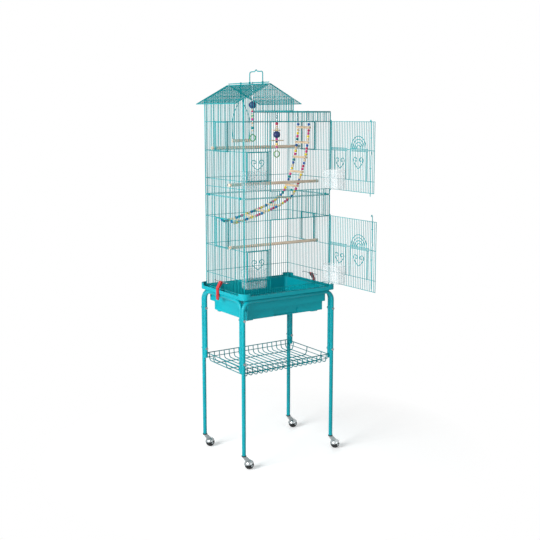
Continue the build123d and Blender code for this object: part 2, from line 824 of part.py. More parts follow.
# Storage basket: a rim between the legs, with wires bent down across it and along it
with BuildPart() as storage_basket:
    with BuildSketch(level(basket_z - basket_rim)) as rim:
        Rectangle(2 * basket_half_w, 2 * basket_half_d)
        Rectangle(2 * (basket_half_w - basket_rim), 2 * (basket_half_d - basket_rim), mode=Mode.SUBTRACT)
    extrude(rim.sketch, amount=basket_rim)
    for half, deep, count, span, face in (
        (basket_half_d, basket_deep, basket_wires, basket_half_w, facing_right),
        (basket_half_w, basket_deep + wire, basket_long_wires, basket_half_d, facing_front),
    ):
        for i in range(count):
            at = span * (2 * (i + 0.5) / count - 1)
            with BuildSketch(face(at)) as hoop:
                for inset, mode in ((0, Mode.ADD), (wire, Mode.SUBTRACT)):
                    wide = half - inset
                    low = basket_z - deep + inset
                    top = basket_z - basket_rim / 2
                    with BuildLine():
                        Polyline(
                            (-wide, top), (-wide, low + basket_slant), (-wide + basket_slant, low),
                            (wide - basket_slant, low), (wide, low + basket_slant), (wide, top),
                            close=True,
                        )
                    make_face(mode=mode)
            extrude(hoop.sketch, amount=wire / 2, both=True)
    for x in (-1, 1):
        for y in (-1, 1):
            post = level(basket_z - basket_rim)
            reach = leg_x - tube_r - basket_play - basket_half_w
            with BuildSketch(post) as ear:
                with Locations((x * (basket_half_w + reach / 2), y * short_leg_y)):
                    Rectangle(reach, basket_ear_wide)
            extrude(ear.sketch, amount=basket_rim)
finish(storage_basket, "storage_basket")

# Casters: a plug in each leg, a swivelling yoke with a half hood, and a ball on its axle
with BuildPart() as caster_plugs:
    for x in (-leg_x, leg_x):
        for y in (-leg_y, leg_y):
            for low, high, r in (
                (leg_foot_z - plug_flange, leg_foot_z, tube_r + 2), (leg_foot_z, plug_top, tube_r - tube_wall)
            ):
                with BuildSketch(level(low)) as section:
                    with Locations((x, y)):
                        Circle(r)
                        Circle(stem_r + caster_play, mode=Mode.SUBTRACT)
                extrude(section.sketch, amount=high - low)
finish(caster_plugs, "caster_plugs")

hood_in = ball_r + hood_gap
disc_z = leg_foot_z - plug_flange
for front, y in (("front", -leg_y), ("back", leg_y)):
    for side, x in (("left", -leg_x), ("right", leg_x)):
        centre = (mid_x + x + trail, mid_y + y, ball_r)
        with BuildPart() as yoke:
            with Locations(centre):
                Sphere(hood_out)
                Sphere(hood_in, mode=Mode.SUBTRACT)
            cut = Plane(centre, z_dir=(sin(hood_tilt), 0, -cos(hood_tilt))).offset(hood_skirt)
            split(bisect_by=cut, keep=Keep.BOTTOM)
            with BuildSketch(facing_front(y)) as neck:
                with BuildLine():
                    Polyline(
                        (x - disc_r, disc_z - disc_thick), (x + disc_r, disc_z - disc_thick),
                        (x + trail - neck_in, ball_r + hood_out - neck_drop),
                        (x + trail - hood_in + 1, ball_r + neck_drop),
                        close=True,
                    )
                make_face()
            extrude(neck.sketch, amount=neck_half, both=True)
            with Locations(centre):
                Sphere(hood_in, mode=Mode.SUBTRACT)
                Cylinder(axle_r, 2 * hood_in + hood_thick, rotation=(90, 0, 0))
            for low, high, r in ((disc_z - disc_thick, disc_z, disc_r), (disc_z, plug_top - 4, stem_r)):
                with BuildSketch(level(low)) as section:
                    with Locations((x, y)):
                        Circle(r)
                extrude(section.sketch, amount=high - low)
        finish(yoke, f"caster_yoke_{front}_{side}")

        with BuildPart() as ball:
            with Locations(centre):
                Sphere(ball_r)
                Box(2 * ball_r, 2 * (ball_r - ball_flat), 2 * ball_r, mode=Mode.INTERSECT)
                Cylinder(axle_r + caster_play, 2 * ball_r, rotation=(90, 0, 0), mode=Mode.SUBTRACT)
        finish(ball, f"caster_ball_{front}_{side}")

# Perches: wooden rods between the side walls, with a thin end through the wires and a cap outside
with BuildPart() as perches:
    inner = cage_half_w - frame_wire / 2 - wire / 2
    outer = inner + wire
    for y, z in perches_at:
        gap_y = nearest(side_gaps, y)
        for x0, x1, r in (
            (-inner, inner, perch_r), (inner, outer, perch_tenon_r), (-outer, -inner, perch_tenon_r),
            (outer, outer + perch_end, perch_r), (-outer - perch_end, -outer, perch_r),
        ):
            with BuildSketch(facing_right(x0)) as section:
                with Locations((gap_y, z)):
                    Circle(r)
            extrude(section.sketch, amount=x1 - x0)
finish(perches, "perches")


def hanger_eye(y, spot, r):
    """An eye of wire round a rod or a wire that runs along Y."""
    half = hanger_r + eye_more
    with BuildSketch(facing_front(y - half)) as eye:
        with Locations(spot):
            Circle(r + 2 * hanger_r)
            Circle(r, mode=Mode.SUBTRACT)
    extrude(eye.sketch, amount=-2 * half)


# Swing: a wire bail that turns on the ridge rod and carries a wooden bar
with BuildPart() as swing_wire:
    hanger_eye(swing_y, (ridge_x, rod_z), ridge_rod_r + pin_play)
    for way in (-1, 1):
        at = [
            (ridge_x, rod_z - ridge_rod_r - pin_play - hanger_r),
            (ridge_x + way * swing_neck, swing_neck_z),
            (ridge_x + way * swing_half, swing_shoulder_z),
            (ridge_x + way * (swing_half - swing_in), swing_z),
        ]
        with BuildLine() as path:
            FilletPolyline(*[(mid_x + x, mid_y + swing_y, z) for x, z in at], radius=swing_bend)
        with BuildSketch(Plane(path.line @ 0, z_dir=path.line % 0)) as section:
            Circle(hanger_r)
        sweep(section.sketch, path=path.line)
finish(swing_wire, "swing_wire")

with BuildPart() as swing_bar:
    with BuildSketch(facing_right(ridge_x - swing_half)) as section:
        with Locations((swing_y, swing_z)):
            Circle(perch_r)
    extrude(section.sketch, amount=2 * swing_half)
    add(swing_wire.part, mode=Mode.SUBTRACT)
finish(swing_bar, "swing_bar")

# Hanging toys: a straight wire with an eye at the top and a ring below, and beads along it
top_wires = even_steps(roof_right_x, cage_half_w, wire_pitch)
top_wire_z = flat_top_z + frame_wire / 2
top_eye_r = wire / 2 + wire_eye_play
for label, x, y, top, eye_r, low, balls in (
    ("toy_left", ridge_x, toy_left_y, rod_z, ridge_rod_r + pin_play, toy_left_low, toy_left_beads),
    (
        "toy_right", nearest(top_wires, toy_right_x), toy_right_y, top_wire_z, top_eye_r,
        toy_right_low, toy_right_beads,
    ),
):
    with BuildPart() as toy:
        hanger_eye(y, (x, top), eye_r)
        with BuildSketch(level(low - ring_wire / 2)) as section:
            with Locations((x, y)):
                Circle(hanger_r)
        extrude(section.sketch, amount=top - eye_r - hanger_r - low + ring_wire / 2)
        with Locations(Location((mid_x + x, mid_y + y, low - ring_r), (90, 0, 0))):
            Torus(ring_r - ring_wire / 2, ring_wire / 2)
    finish(toy, label)
    with BuildPart() as beads:
        for z, r in balls:
            with Locations((mid_x + x, mid_y + y, z)):
                Sphere(r)
        add(toy.part, mode=Mode.SUBTRACT)
    finish(beads, label + "_beads")

# Bending ladder: two strands of wire from the flat top to the left wall, wooden rungs
# across them and a bead on each strand between two rungs
ladder_x = nearest(top_wires, ladder_top_x)
ladder_points = [
    (ladder_x, top_wire_z - top_eye_r - hanger_r), *ladder_at,
    (-cage_half_w + frame_wire, ladder_end_z),
]
strands = []
with BuildPart() as ladder_wires:
    for y in (-ladder_half, ladder_half):
        hanger_eye(y, (ladder_x, top_wire_z), top_eye_r)
        points = [(mid_x + x, mid_y + y, z) for x, z in ladder_points]
        with BuildLine() as path:
            FilletPolyline(*points, radius=bend_radii(points))
        strand = path.wires()[0]
        with BuildSketch(Plane(strand @ 0, z_dir=strand % 0)) as section:
            Circle(ladder_r)
        sweep(section.sketch, path=strand)
        strands.append(strand)
finish(ladder_wires, "ladder_wires")

rungs = round(strands[0].length / rung_pitch)
with BuildPart() as ladder_rungs:
    for i in range(1, rungs):
        spot = strands[0] @ (i / rungs)
        with BuildSketch(Plane((spot.X, mid_y - rung_long / 2, spot.Z), z_dir=(0, 1, 0))) as section:
            Circle(rung_r)
        extrude(section.sketch, amount=rung_long)
    add(ladder_wires.part, mode=Mode.SUBTRACT)
finish(ladder_rungs, "ladder_rungs")

with BuildPart() as ladder_beads:
    for strand in strands:
        for i in range(rungs):
            share = (i + 0.5) / rungs
            with Locations(Plane(strand @ share, z_dir=strand % share)):
                Sphere(bead_r)
                Cylinder(ladder_r + bead_play, 2 * bead_r, mode=Mode.SUBTRACT)
finish(ladder_beads, "ladder_beads")

os.makedirs("parts", exist_ok=True)
for piece in pieces:
    export_step(piece.part, f"parts/{piece.part.label}.step")
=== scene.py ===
from math import atan2, cos, hypot, pi, radians, sin

import bmesh
import bpy
from mathutils import Matrix, Vector


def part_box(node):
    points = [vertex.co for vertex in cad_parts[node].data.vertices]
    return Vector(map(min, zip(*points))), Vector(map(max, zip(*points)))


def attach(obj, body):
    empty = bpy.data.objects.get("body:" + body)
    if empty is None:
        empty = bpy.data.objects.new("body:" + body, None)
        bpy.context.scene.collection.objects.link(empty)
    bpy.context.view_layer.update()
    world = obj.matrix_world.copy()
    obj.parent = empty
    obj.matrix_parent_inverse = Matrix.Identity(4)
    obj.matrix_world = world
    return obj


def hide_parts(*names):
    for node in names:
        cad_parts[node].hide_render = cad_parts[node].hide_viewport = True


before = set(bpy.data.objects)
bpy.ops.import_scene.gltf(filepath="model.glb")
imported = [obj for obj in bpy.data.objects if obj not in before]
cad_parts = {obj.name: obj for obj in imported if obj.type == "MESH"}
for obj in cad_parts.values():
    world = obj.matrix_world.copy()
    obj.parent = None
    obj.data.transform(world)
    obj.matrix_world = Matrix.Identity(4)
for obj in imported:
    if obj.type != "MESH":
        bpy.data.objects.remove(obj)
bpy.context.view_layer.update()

# Studio: a white floor, soft lamps above and beside it, and the camera at the photograph's angle.
# The lamps stand well off, so that the coat's colour renders as it is written.
basket_low, basket_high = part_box("storage_basket")
mid_x = (basket_low[0] + basket_high[0]) / 2
mid_y = (basket_low[1] + basket_high[1]) / 2


def at(x, y, z):
    """A point given in millimetres about the cage's middle, in metres in the frame."""
    return Vector((mid_x + x / 1000, mid_y + y / 1000, z / 1000))


camera_data = bpy.data.cameras.new("camera")
camera_data.lens = 60.96
camera_data.sensor_width = 36
camera = bpy.data.objects.new("camera", camera_data)
bpy.context.collection.objects.link(camera)
camera_turn, camera_dip = -33.67, 9.65
look = (Matrix.Rotation(radians(camera_turn), 4, "Z")
        @ Matrix.Rotation(radians(90 - camera_dip), 4, "X"))
camera.matrix_world = Matrix.Translation(at(-2069.4, -3125.4, 1412.5)) @ look
bpy.context.scene.camera = camera
bpy.context.scene.view_settings.view_transform = "Standard"

bpy.ops.object.select_all(action="DESELECT")
bpy.ops.mesh.primitive_plane_add(size=40, location=(mid_x, mid_y, 0))
floor = bpy.context.object
floor.name = "floor"
paper = bpy.data.materials.new("white_paper")
paper.use_nodes = True
paper_nodes, paper_links = paper.node_tree.nodes, paper.node_tree.links
paper_shader = paper_nodes["Principled BSDF"]
paper_shader.inputs["Base Color"].default_value = (0.93, 0.94, 0.94, 1)
paper_shader.inputs["Roughness"].default_value = 0.9
paper_glow = paper_nodes.new("ShaderNodeEmission")
paper_glow.inputs["Color"].default_value = (1, 1, 1, 1)
paper_glow.inputs["Strength"].default_value = 0.3
paper_white = paper_nodes.new("ShaderNodeEmission")
paper_white.inputs["Color"].default_value = (1, 1, 1, 1)
paper_white.inputs["Strength"].default_value = 1
paper_place = paper_nodes.new("ShaderNodeTexCoord")
paper_length = paper_nodes.new("ShaderNodeVectorMath")
paper_length.operation = "LENGTH"
paper_far = paper_nodes.new("ShaderNodeMapRange")
paper_far.inputs["From Min"].default_value = 0.42
paper_far.inputs["From Max"].default_value = 0.95
paper_near = paper_nodes.new("ShaderNodeAddShader")
paper_shown = paper_nodes.new("ShaderNodeMixShader")
paper_mix = paper_nodes.new("ShaderNodeMixShader")
paper_path = paper_nodes.new("ShaderNodeLightPath")
paper_links.new(paper_place.outputs["Object"], paper_length.inputs[0])
paper_links.new(paper_length.outputs["Value"], paper_far.inputs["Value"])
paper_links.new(paper_shader.outputs["BSDF"], paper_near.inputs[0])
paper_links.new(paper_glow.outputs["Emission"], paper_near.inputs[1])
paper_links.new(paper_far.outputs["Result"], paper_shown.inputs["Fac"])
paper_links.new(paper_near.outputs["Shader"], paper_shown.inputs[1])
paper_links.new(paper_white.outputs["Emission"], paper_shown.inputs[2])
paper_links.new(paper_path.outputs["Is Camera Ray"], paper_mix.inputs["Fac"])
paper_links.new(paper_shader.outputs["BSDF"], paper_mix.inputs[1])
paper_links.new(paper_shown.outputs["Shader"], paper_mix.inputs[2])
paper_links.new(paper_mix.outputs["Shader"], paper_nodes["Material Output"].inputs["Surface"])
floor.data.materials.append(paper)

world = bpy.data.worlds.new("studio")
bpy.context.scene.world = world
world.use_nodes = True
world_nodes, world_links = world.node_tree.nodes, world.node_tree.links
world_nodes["Background"].inputs["Color"].default_value = (1, 1, 1, 1)
world_nodes["Background"].inputs["Strength"].default_value = 0.24
world_seen = world_nodes.new("ShaderNodeBackground")
world_seen.inputs["Color"].default_value = (1, 1, 1, 1)
world_seen.inputs["Strength"].default_value = 1
world_path = world_nodes.new("ShaderNodeLightPath")
world_any = world_nodes.new("ShaderNodeMath")
world_any.operation = "MAXIMUM"
world_all = world_nodes.new("ShaderNodeMath")
world_all.operation = "MAXIMUM"
world_mix = world_nodes.new("ShaderNodeMixShader")
world_links.new(world_path.outputs["Is Camera Ray"], world_any.inputs[0])
world_links.new(world_path.outputs["Is Glossy Ray"], world_any.inputs[1])
world_links.new(world_any.outputs["Value"], world_all.inputs[0])
world_links.new(world_path.outputs["Is Transmission Ray"], world_all.inputs[1])
world_links.new(world_all.outputs["Value"], world_mix.inputs["Fac"])
world_links.new(world_nodes["Background"].outputs["Background"], world_mix.inputs[1])
world_links.new(world_seen.outputs["Background"], world_mix.inputs[2])
world_links.new(world_mix.outputs["Shader"], world_nodes["World Output"].inputs["Surface"])

lit_point = at(0, 0, 850)
for lamp_name, lamp_from, lamp_size, lamp_power in (
    ("key_lamp", (-3400, -600, 1900), 1.8, 165),
    ("fill_lamp", (600, -3200, 1500), 2.2, 16),
    ("rim_lamp", (1500, 2200, 2600), 1.6, 16),
):
    lamp_data = bpy.data.lights.new(lamp_name, "AREA")
    lamp_data.size = lamp_size
    lamp_data.energy = lamp_power
    lamp = bpy.data.objects.new(lamp_name, lamp_data)
    bpy.context.collection.objects.link(lamp)
    lamp_place = at(*lamp_from)
    aim = (lit_point - lamp_place).to_track_quat("-Z", "Y").to_matrix().to_4x4()
    lamp.matrix_world = Matrix.Translation(lamp_place) @ aim

# Stand: two long bent tubes reach down to the casters and two short ones nest between them.
# Steel tube with a teal powder coat; bright bolts clamp the pairs of legs.


def surface_group():
    """Cloudy tone, fine grain and scuffs that every finish of the cage shares."""
    group = bpy.data.node_groups.new("surface_marks", "ShaderNodeTree")
    for label, usual in (("Tone Scale", 6.0), ("Grain Scale", 900.0), ("Scuffs", 0.25)):
        socket = group.interface.new_socket(label, in_out="INPUT", socket_type="NodeSocketFloat")
        socket.default_value = usual
    for label in ("Tone", "Grain", "Scuff"):
        group.interface.new_socket(label, in_out="OUTPUT", socket_type="NodeSocketFloat")
    nodes, links = group.nodes, group.links
    given, out = nodes.new("NodeGroupInput"), nodes.new("NodeGroupOutput")
    coords = nodes.new("ShaderNodeTexCoord")
    for label, socket, detail in (("Tone Scale", "Tone", 3), ("Grain Scale", "Grain", 2)):
        noise = nodes.new("ShaderNodeTexNoise")
        noise.inputs["Detail"].default_value = detail
        links.new(coords.outputs["Object"], noise.inputs["Vector"])
        links.new(given.outputs[label], noise.inputs["Scale"])
        links.new(noise.outputs["Fac"], out.inputs[socket])
    rub = nodes.new("ShaderNodeTexNoise")
    rub.inputs["Scale"].default_value = 38
    rub.inputs["Detail"].default_value = 6
    rub.inputs["Distortion"].default_value = 0.8
    edge = nodes.new("ShaderNodeMapRange")
    edge.inputs["From Min"].default_value = 0.6
    edge.inputs["From Max"].default_value = 0.78
    times = nodes.new("ShaderNodeMath")
    times.operation = "MULTIPLY"
    links.new(coords.outputs["Object"], rub.inputs["Vector"])
    links.new(rub.outputs["Fac"], edge.inputs["Value"])
    links.new(edge.outputs["Result"], times.inputs[0])
    links.new(given.outputs["Scuffs"], times.inputs[1])
    links.new(times.outputs["Value"], out.inputs["Scuff"])
    return group


marks = surface_group()


def finish_of(name, dark, light, worn, rough=(0.35, 0.5), metal=0.0, bump=0.15,
              grain=900, tone=6, scuffs=0.25, coat=0.0, shine=0.5):
    """A finish whose tone, gloss and relief follow the shared surface marks."""
    colour_a, colour_b, colour_out = 6, 7, 2
    material = bpy.data.materials.new(name)
    material.use_nodes = True
    nodes, links = material.node_tree.nodes, material.node_tree.links
    shader = nodes["Principled BSDF"]
    shader.inputs["Metallic"].default_value = metal
    shader.inputs["Coat Weight"].default_value = coat
    shader.inputs["Specular IOR Level"].default_value = shine
    group = nodes.new("ShaderNodeGroup")
    group.node_tree = marks
    group.inputs["Tone Scale"].default_value = tone
    group.inputs["Grain Scale"].default_value = grain
    group.inputs["Scuffs"].default_value = scuffs
    ramp = nodes.new("ShaderNodeValToRGB")
    ramp.color_ramp.elements[0].position = 0.3
    ramp.color_ramp.elements[0].color = (*dark, 1)
    ramp.color_ramp.elements[1].position = 0.7
    ramp.color_ramp.elements[1].color = (*light, 1)
    wear = nodes.new("ShaderNodeMix")
    wear.data_type = "RGBA"
    wear.inputs[colour_b].default_value = (*worn, 1)
    gloss = nodes.new("ShaderNodeMapRange")
    gloss.inputs["To Min"].default_value = rough[0]
    gloss.inputs["To Max"].default_value = rough[1]
    relief = nodes.new("ShaderNodeBump")
    relief.inputs["Strength"].default_value = bump
    relief.inputs["Distance"].default_value = 0.0004
    links.new(group.outputs["Tone"], ramp.inputs["Fac"])
    links.new(ramp.outputs["Color"], wear.inputs[colour_a])
    links.new(group.outputs["Scuff"], wear.inputs[0])
    links.new(wear.outputs[colour_out], shader.inputs["Base Color"])
    links.new(group.outputs["Tone"], gloss.inputs["Value"])
    links.new(gloss.outputs["Result"], shader.inputs["Roughness"])
    links.new(group.outputs["Grain"], relief.inputs["Height"])
    links.new(relief.outputs["Normal"], shader.inputs["Normal"])
    return material


def dress(node, material):
    """Gives a CAD node its finish."""
    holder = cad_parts[node].data
    holder.materials.clear()
    holder.materials.append(material)


tube_coat = finish_of("tube_coat", (0.0, 0.28, 0.33), (0.0, 0.34, 0.40), (0.02, 0.40, 0.45),
                      rough=(0.28, 0.42), bump=0.12, grain=700, shine=0.22)
bright_zinc = finish_of("bright_zinc", (0.35, 0.36, 0.38), (0.55, 0.56, 0.58), (0.25, 0.25, 0.26),
                        rough=(0.16, 0.32), metal=1.0, bump=0.08, scuffs=0.3)
for tube_node in ("stand_front", "stand_back", "stand_left", "stand_right"):
    dress(tube_node, tube_coat)
dress("stand_bolts", bright_zinc)

# Casters: black plug in each leg, plated yoke with a half hood, and a dark hard ball.
# The yoke is pressed from sheet and plated; the ball is moulded and turns on its axle.
plug_black = finish_of("plug_black", (0.012, 0.012, 0.013), (0.03, 0.03, 0.032), (0.1, 0.1, 0.1),
                       rough=(0.4, 0.55))
hood_chrome = finish_of("hood_chrome", (0.30, 0.33, 0.34), (0.52, 0.56, 0.57), (0.24, 0.25, 0.26),
                        rough=(0.08, 0.2), metal=1.0, bump=0.04, grain=300, scuffs=0.2)
ball_black = finish_of("ball_black", (0.01, 0.011, 0.012), (0.03, 0.03, 0.032), (0.12, 0.12, 0.12),
                       rough=(0.4, 0.55), bump=0.1, scuffs=0.35, shine=0.2)
dress("caster_plugs", plug_black)


def joined(name, parts, material):
    """Several meshes of one material as one piece."""
    bpy.ops.object.select_all(action="DESELECT")
    for part in parts:
        part.select_set(True)
    bpy.context.view_layer.objects.active = parts[0]
    if len(parts) > 1:
        bpy.ops.object.join()
    piece = bpy.context.object
    piece.name = name
    piece.data.materials.clear()
    piece.data.materials.append(material)
    return piece


def turned(name, r, depth, place, tilt=(0, 0, 0), sides=32):
    """A short round piece at a place, with its axis upright unless it is tilted."""
    bpy.ops.object.select_all(action="DESELECT")
    bpy.ops.mesh.primitive_cylinder_add(vertices=sides, radius=r / 1000, depth=depth / 1000,
                                        rotation=tilt, location=place)
    bpy.ops.object.transform_apply(location=True, rotation=True, scale=True)
    bpy.context.object.name = name
    return bpy.context.object


ball_r, trail, axle_z = 19, 25, 19
leg_across, leg_back = 218, 157.5
hood_gap, hood_sheet, hood_cut, hood_opens = 0.6, 1.3, 5.8, (0.26, 0.0, -0.96)
neck_line, neck_half = [(-8, 58), (9, 58), (26, 40.4), (10, 34)], 7
disc_r, disc_thick, disc_z = 9, 3.4, 59.7
axle_end_r, axle_end_long, axle_end_out = 4.4, 1.6, 20
for caster in ("front_left", "front_right", "back_left", "back_right"):
    node = "caster_yoke_" + caster
    leg_x = leg_across if caster.endswith("right") else -leg_across
    leg_y = leg_back if caster.startswith("back") else -leg_back
    mesh = bmesh.new()
    bmesh.ops.create_uvsphere(mesh, u_segments=40, v_segments=24,
                              radius=(ball_r + hood_gap) / 1000)
    bmesh.ops.bisect_plane(mesh, geom=mesh.verts[:] + mesh.edges[:] + mesh.faces[:],
                           clear_outer=True, plane_co=(0, 0, hood_cut / 1000),
                           plane_no=hood_opens)
    for vertex in mesh.verts:
        vertex.co += at(leg_x + trail, leg_y, axle_z)
    hood_mesh = bpy.data.meshes.new(node + "_hood")
    mesh.to_mesh(hood_mesh)
    mesh.free()
    hood = bpy.data.objects.new(node + "_hood", hood_mesh)
    bpy.context.collection.objects.link(hood)
    bpy.ops.object.select_all(action="DESELECT")
    hood.select_set(True)
    bpy.context.view_layer.objects.active = hood
    sheet_wall = hood.modifiers.new("sheet", "SOLIDIFY")
    sheet_wall.thickness = hood_sheet / 1000
    sheet_wall.offset = 1
    bpy.ops.object.modifier_apply(modifier="sheet")
    bpy.ops.object.shade_smooth_by_angle(angle=radians(40))
    mesh = bmesh.new()
    ends = [[mesh.verts.new(at(leg_x + x, leg_y + y, z)) for x, z in neck_line]
            for y in (-neck_half, neck_half)]
    mesh.faces.new(ends[0])
    mesh.faces.new(ends[1][::-1])
    for i in range(len(neck_line)):
        j = (i + 1) % len(neck_line)
        mesh.faces.new((ends[0][j], ends[0][i], ends[1][i], ends[1][j]))
    bmesh.ops.recalc_face_normals(mesh, faces=mesh.faces)
    neck_mesh = bpy.data.meshes.new(node + "_neck")
    mesh.to_mesh(neck_mesh)
    mesh.free()
    neck = bpy.data.objects.new(node + "_neck", neck_mesh)
    bpy.context.collection.objects.link(neck)
    rounds = [turned("swivel_disc", disc_r, disc_thick, at(leg_x, leg_y, disc_z))]
    for way in (-1, 1):
        rounds.append(turned("axle_end", axle_end_r, axle_end_long,
                             at(leg_x + trail, leg_y + way * axle_end_out, axle_z),
                             (pi / 2, 0, 0)))
    yoke = joined(node + "_pressed", [hood, neck] + rounds, hood_chrome)
    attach(yoke, node)
    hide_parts(node)
    dress("caster_ball_" + caster, ball_black)

# Base tray and drawer: deep moulded pans in teal plastic, the drawer's front with a finger slot.
# The tray's flange lies on the top tubes; its mould leaves a fine grain.
tray_plastic = finish_of("tray_plastic", (0.0, 0.31, 0.37), (0.0, 0.38, 0.44), (0.02, 0.44, 0.50),
                         rough=(0.36, 0.5), bump=0.2, grain=500, tone=4, shine=0.22)


def ease_edges(node, width):
    """Rounds the sharp edges of a moulded piece a little, in millimetres."""
    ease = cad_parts[node].modifiers.new("edges", "BEVEL")
    ease.width = width / 1000
    ease.segments = 2
    ease.limit_method = "ANGLE"
    ease.angle_limit = radians(35)


for pan in ("base_tray", "drawer"):
    dress(pan, tray_plastic)
    ease_edges(pan, 1.2)

# Walls: welded panels of thin round wire inside a thicker frame wire, coated teal.
# The rails are welded across the uprights on the outer side.
wire_r = 1.1
frame_r = 1.6
pitch = 11
wall_x, wall_y = 205.4, 150.4
wire_coat = finish_of("wire_coat", (0.0, 0.27, 0.30), (0.0, 0.36, 0.39), (0.02, 0.42, 0.45),
                      rough=(0.35, 0.5), bump=0.08, grain=1200, shine=0.15)


def wires(name, runs, r, closed=False, smooth=False):
    """Round wires of one thickness along runs of points, as one mesh."""
    curve = bpy.data.curves.new(name, "CURVE")
    curve.dimensions = "3D"
    curve.bevel_depth = r / 1000
    curve.bevel_resolution = 2
    curve.use_fill_caps = True
    for run in runs:
        spline = curve.splines.new("NURBS" if smooth else "POLY")
        spline.points.add(len(run) - 1)
        for point, place in zip(spline.points, run):
            point.co = (*place, 1)
        spline.use_cyclic_u = closed
        if smooth:
            spline.use_endpoint_u = not closed
            spline.order_u = 3
            spline.resolution_u = 4
    piece = bpy.data.objects.new(name, curve)
    bpy.context.collection.objects.link(piece)
    bpy.ops.object.select_all(action="DESELECT")
    piece.select_set(True)
    bpy.context.view_layer.objects.active = piece
    bpy.ops.object.convert(target="MESH")
    bpy.ops.object.shade_smooth_by_angle(angle=radians(50))
    return bpy.context.object


def turns(count, shut=True):
    """Angles of even steps round a ring, which end on the first again where it is shut."""
    return [2 * pi * i / count for i in range(count + 1 if shut else count)]


def steps_between(low, high):
    """Evenly spaced places between two frame wires."""
    bays = round((high - low) / pitch)
    return [low + (high - low) * i / bays for i in range(1, bays)]


def reach_at(outline, u):
    """Lowest and highest point of an outline at one place along it."""
    heights = []
    for (u0, v0), (u1, v1) in zip(outline, outline[1:] + outline[:1]):
        if min(u0, u1) - 0.001 <= u <= max(u0, u1) + 0.001 and u0 != u1:
            heights.append(v0 + (v1 - v0) * (u - u0) / (u1 - u0))
    return min(heights), max(heights)


def without_holes(fixed, low, high, holes, upright=True):
    """The stretches of a straight wire that are left beside the doorways."""
    cuts = []
    for u0, u1, v0, v1 in holes:
        across, along = ((u0, u1), (v0, v1)) if upright else ((v0, v1), (u0, u1))
        if across[0] < fixed < across[1]:
            cuts.append(along)
    stretches = []
    for a, b in sorted(cuts):
        stretches.append((low, a))
        low = b
    stretches.append((low, high))
    return [s for s in stretches if s[1] - s[0] > 1]


def panel(name, place, outline, rails, holes=(), rail_out=wire_r * 1.7):
    """The wires of one welded panel: uprights, rails across them, and the frame round it."""
    us, vs = [u for u, v in outline], [v for u, v in outline]
    thin = []
    for u in steps_between(min(us), max(us)):
        low, high = reach_at(outline, u)
        for a, b in without_holes(u, low + frame_r, high - frame_r, holes):
            thin.append([place(u, a, 0), place(u, b, 0)])
    for v in rails:
        for a, b in without_holes(v, min(us) + frame_r, max(us) - frame_r, holes, upright=False):
            thin.append([place(a, v, rail_out), place(b, v, rail_out)])
    middle_u, middle_v = sum(us) / len(us), sum(vs) / len(vs)
    rim = []
    for u, v in outline:
        rim.append(place(u + (frame_r if u < middle_u else -frame_r),
                         v + (frame_r if v < middle_v else -frame_r), 0))
    thick = [rim]
    for u0, u1, v0, v1 in holes:
        thick.append([place(u0 - frame_r, v0 - frame_r, 0), place(u1 + frame_r, v0 - frame_r, 0),
                      place(u1 + frame_r, v1 + frame_r, 0), place(u0 - frame_r, v1 + frame_r, 0)])
    return [wires(name + "_thin", thin, wire_r),
            wires(name + "_frame", thick, frame_r, closed=True)]


def front_place(u, v, w):
    """On the front wall: u to the right, v up, w outwards."""
    return at(u, -wall_y - w, v)


def back_place(u, v, w):
    """On the back wall: u to the right, v up, w outwards."""
    return at(u, wall_y + w, v)


def left_place(u, v, w):
    """On the left wall: u to the back, v up, w outwards."""
    return at(-wall_x - w, u, v)


def right_place(u, v, w):
    """On the right wall: u to the back, v up, w outwards."""
    return at(wall_x + w, u, v)


def rectangle(u0, u1, v0, v1):
    """Corners of a plain panel."""
    return [(u0, v0), (u1, v0), (u1, v1), (u0, v1)]


foot_z, joint_z, top_z = 700, 1091, 1423
half_w, half_d = 207, 148.8
peak_x, peak_z, slope, roof_right = -91.5, 1531, 0.521, 24
eave_z = peak_z - slope * (peak_x + half_w)
step_z = peak_z - slope * (roof_right - peak_x)
lower_rails, upper_rails = [769, 886, 1003], [1158, 1270, 1384]
lap = 3.5
main_doorway_u = (-83.9, 203.8)
main_door_z = {"lower": (728, 1006), "upper": (1113, 1387)}
feeder_u = (-198, -96)
feeder_z = {"lower": (768, 888), "upper": (1157, 1272)}
side_door_u = {"left": (-33, 65), "right": (-45, 53)}
side_door_z = {"lower": (885, 1005), "upper": (1269, 1386)}
gable = [
    (half_w, joint_z), (half_w, top_z), (roof_right, top_z),
    (roof_right, step_z), (peak_x, peak_z), (-half_w, eave_z), (-half_w, joint_z),
]


def guides(name, place, u0, u1, v0, v1):
    """Bent wires that hold a sliding door: one at each side of it, and the sill it rests on."""
    guide_r, guide_out, sill_out, sill_v = 0.8, 7.4, 4, v0 - 1.2
    runs = []
    for u, way in ((u0, -1), (u1, 1)):
        u_out, u_in = u + way * 1.5, u - way * 0.9
        runs.append([place(*point) for point in (
            (u_out, v0 - 1, 0), (u_out, v0 - 1, guide_out), (u_in, v0 + 6, guide_out),
            (u_in, v1 - 6, guide_out), (u_out, v1 + 1, guide_out), (u_out, v1 + 1, 0))])
    runs.append([place(u0, sill_v, 0), place(u0, sill_v, sill_out),
                 place(u1, sill_v, sill_out), place(u1, sill_v, 0)])
    return wires(name + "_guides", runs, guide_r)


def wall(node, parts):
    """One wall's piece, fixed to the cage, in place of its plain bars."""
    piece = joined(node + "_wires", parts, wire_coat)
    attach(piece, "cage")
    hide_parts(node)


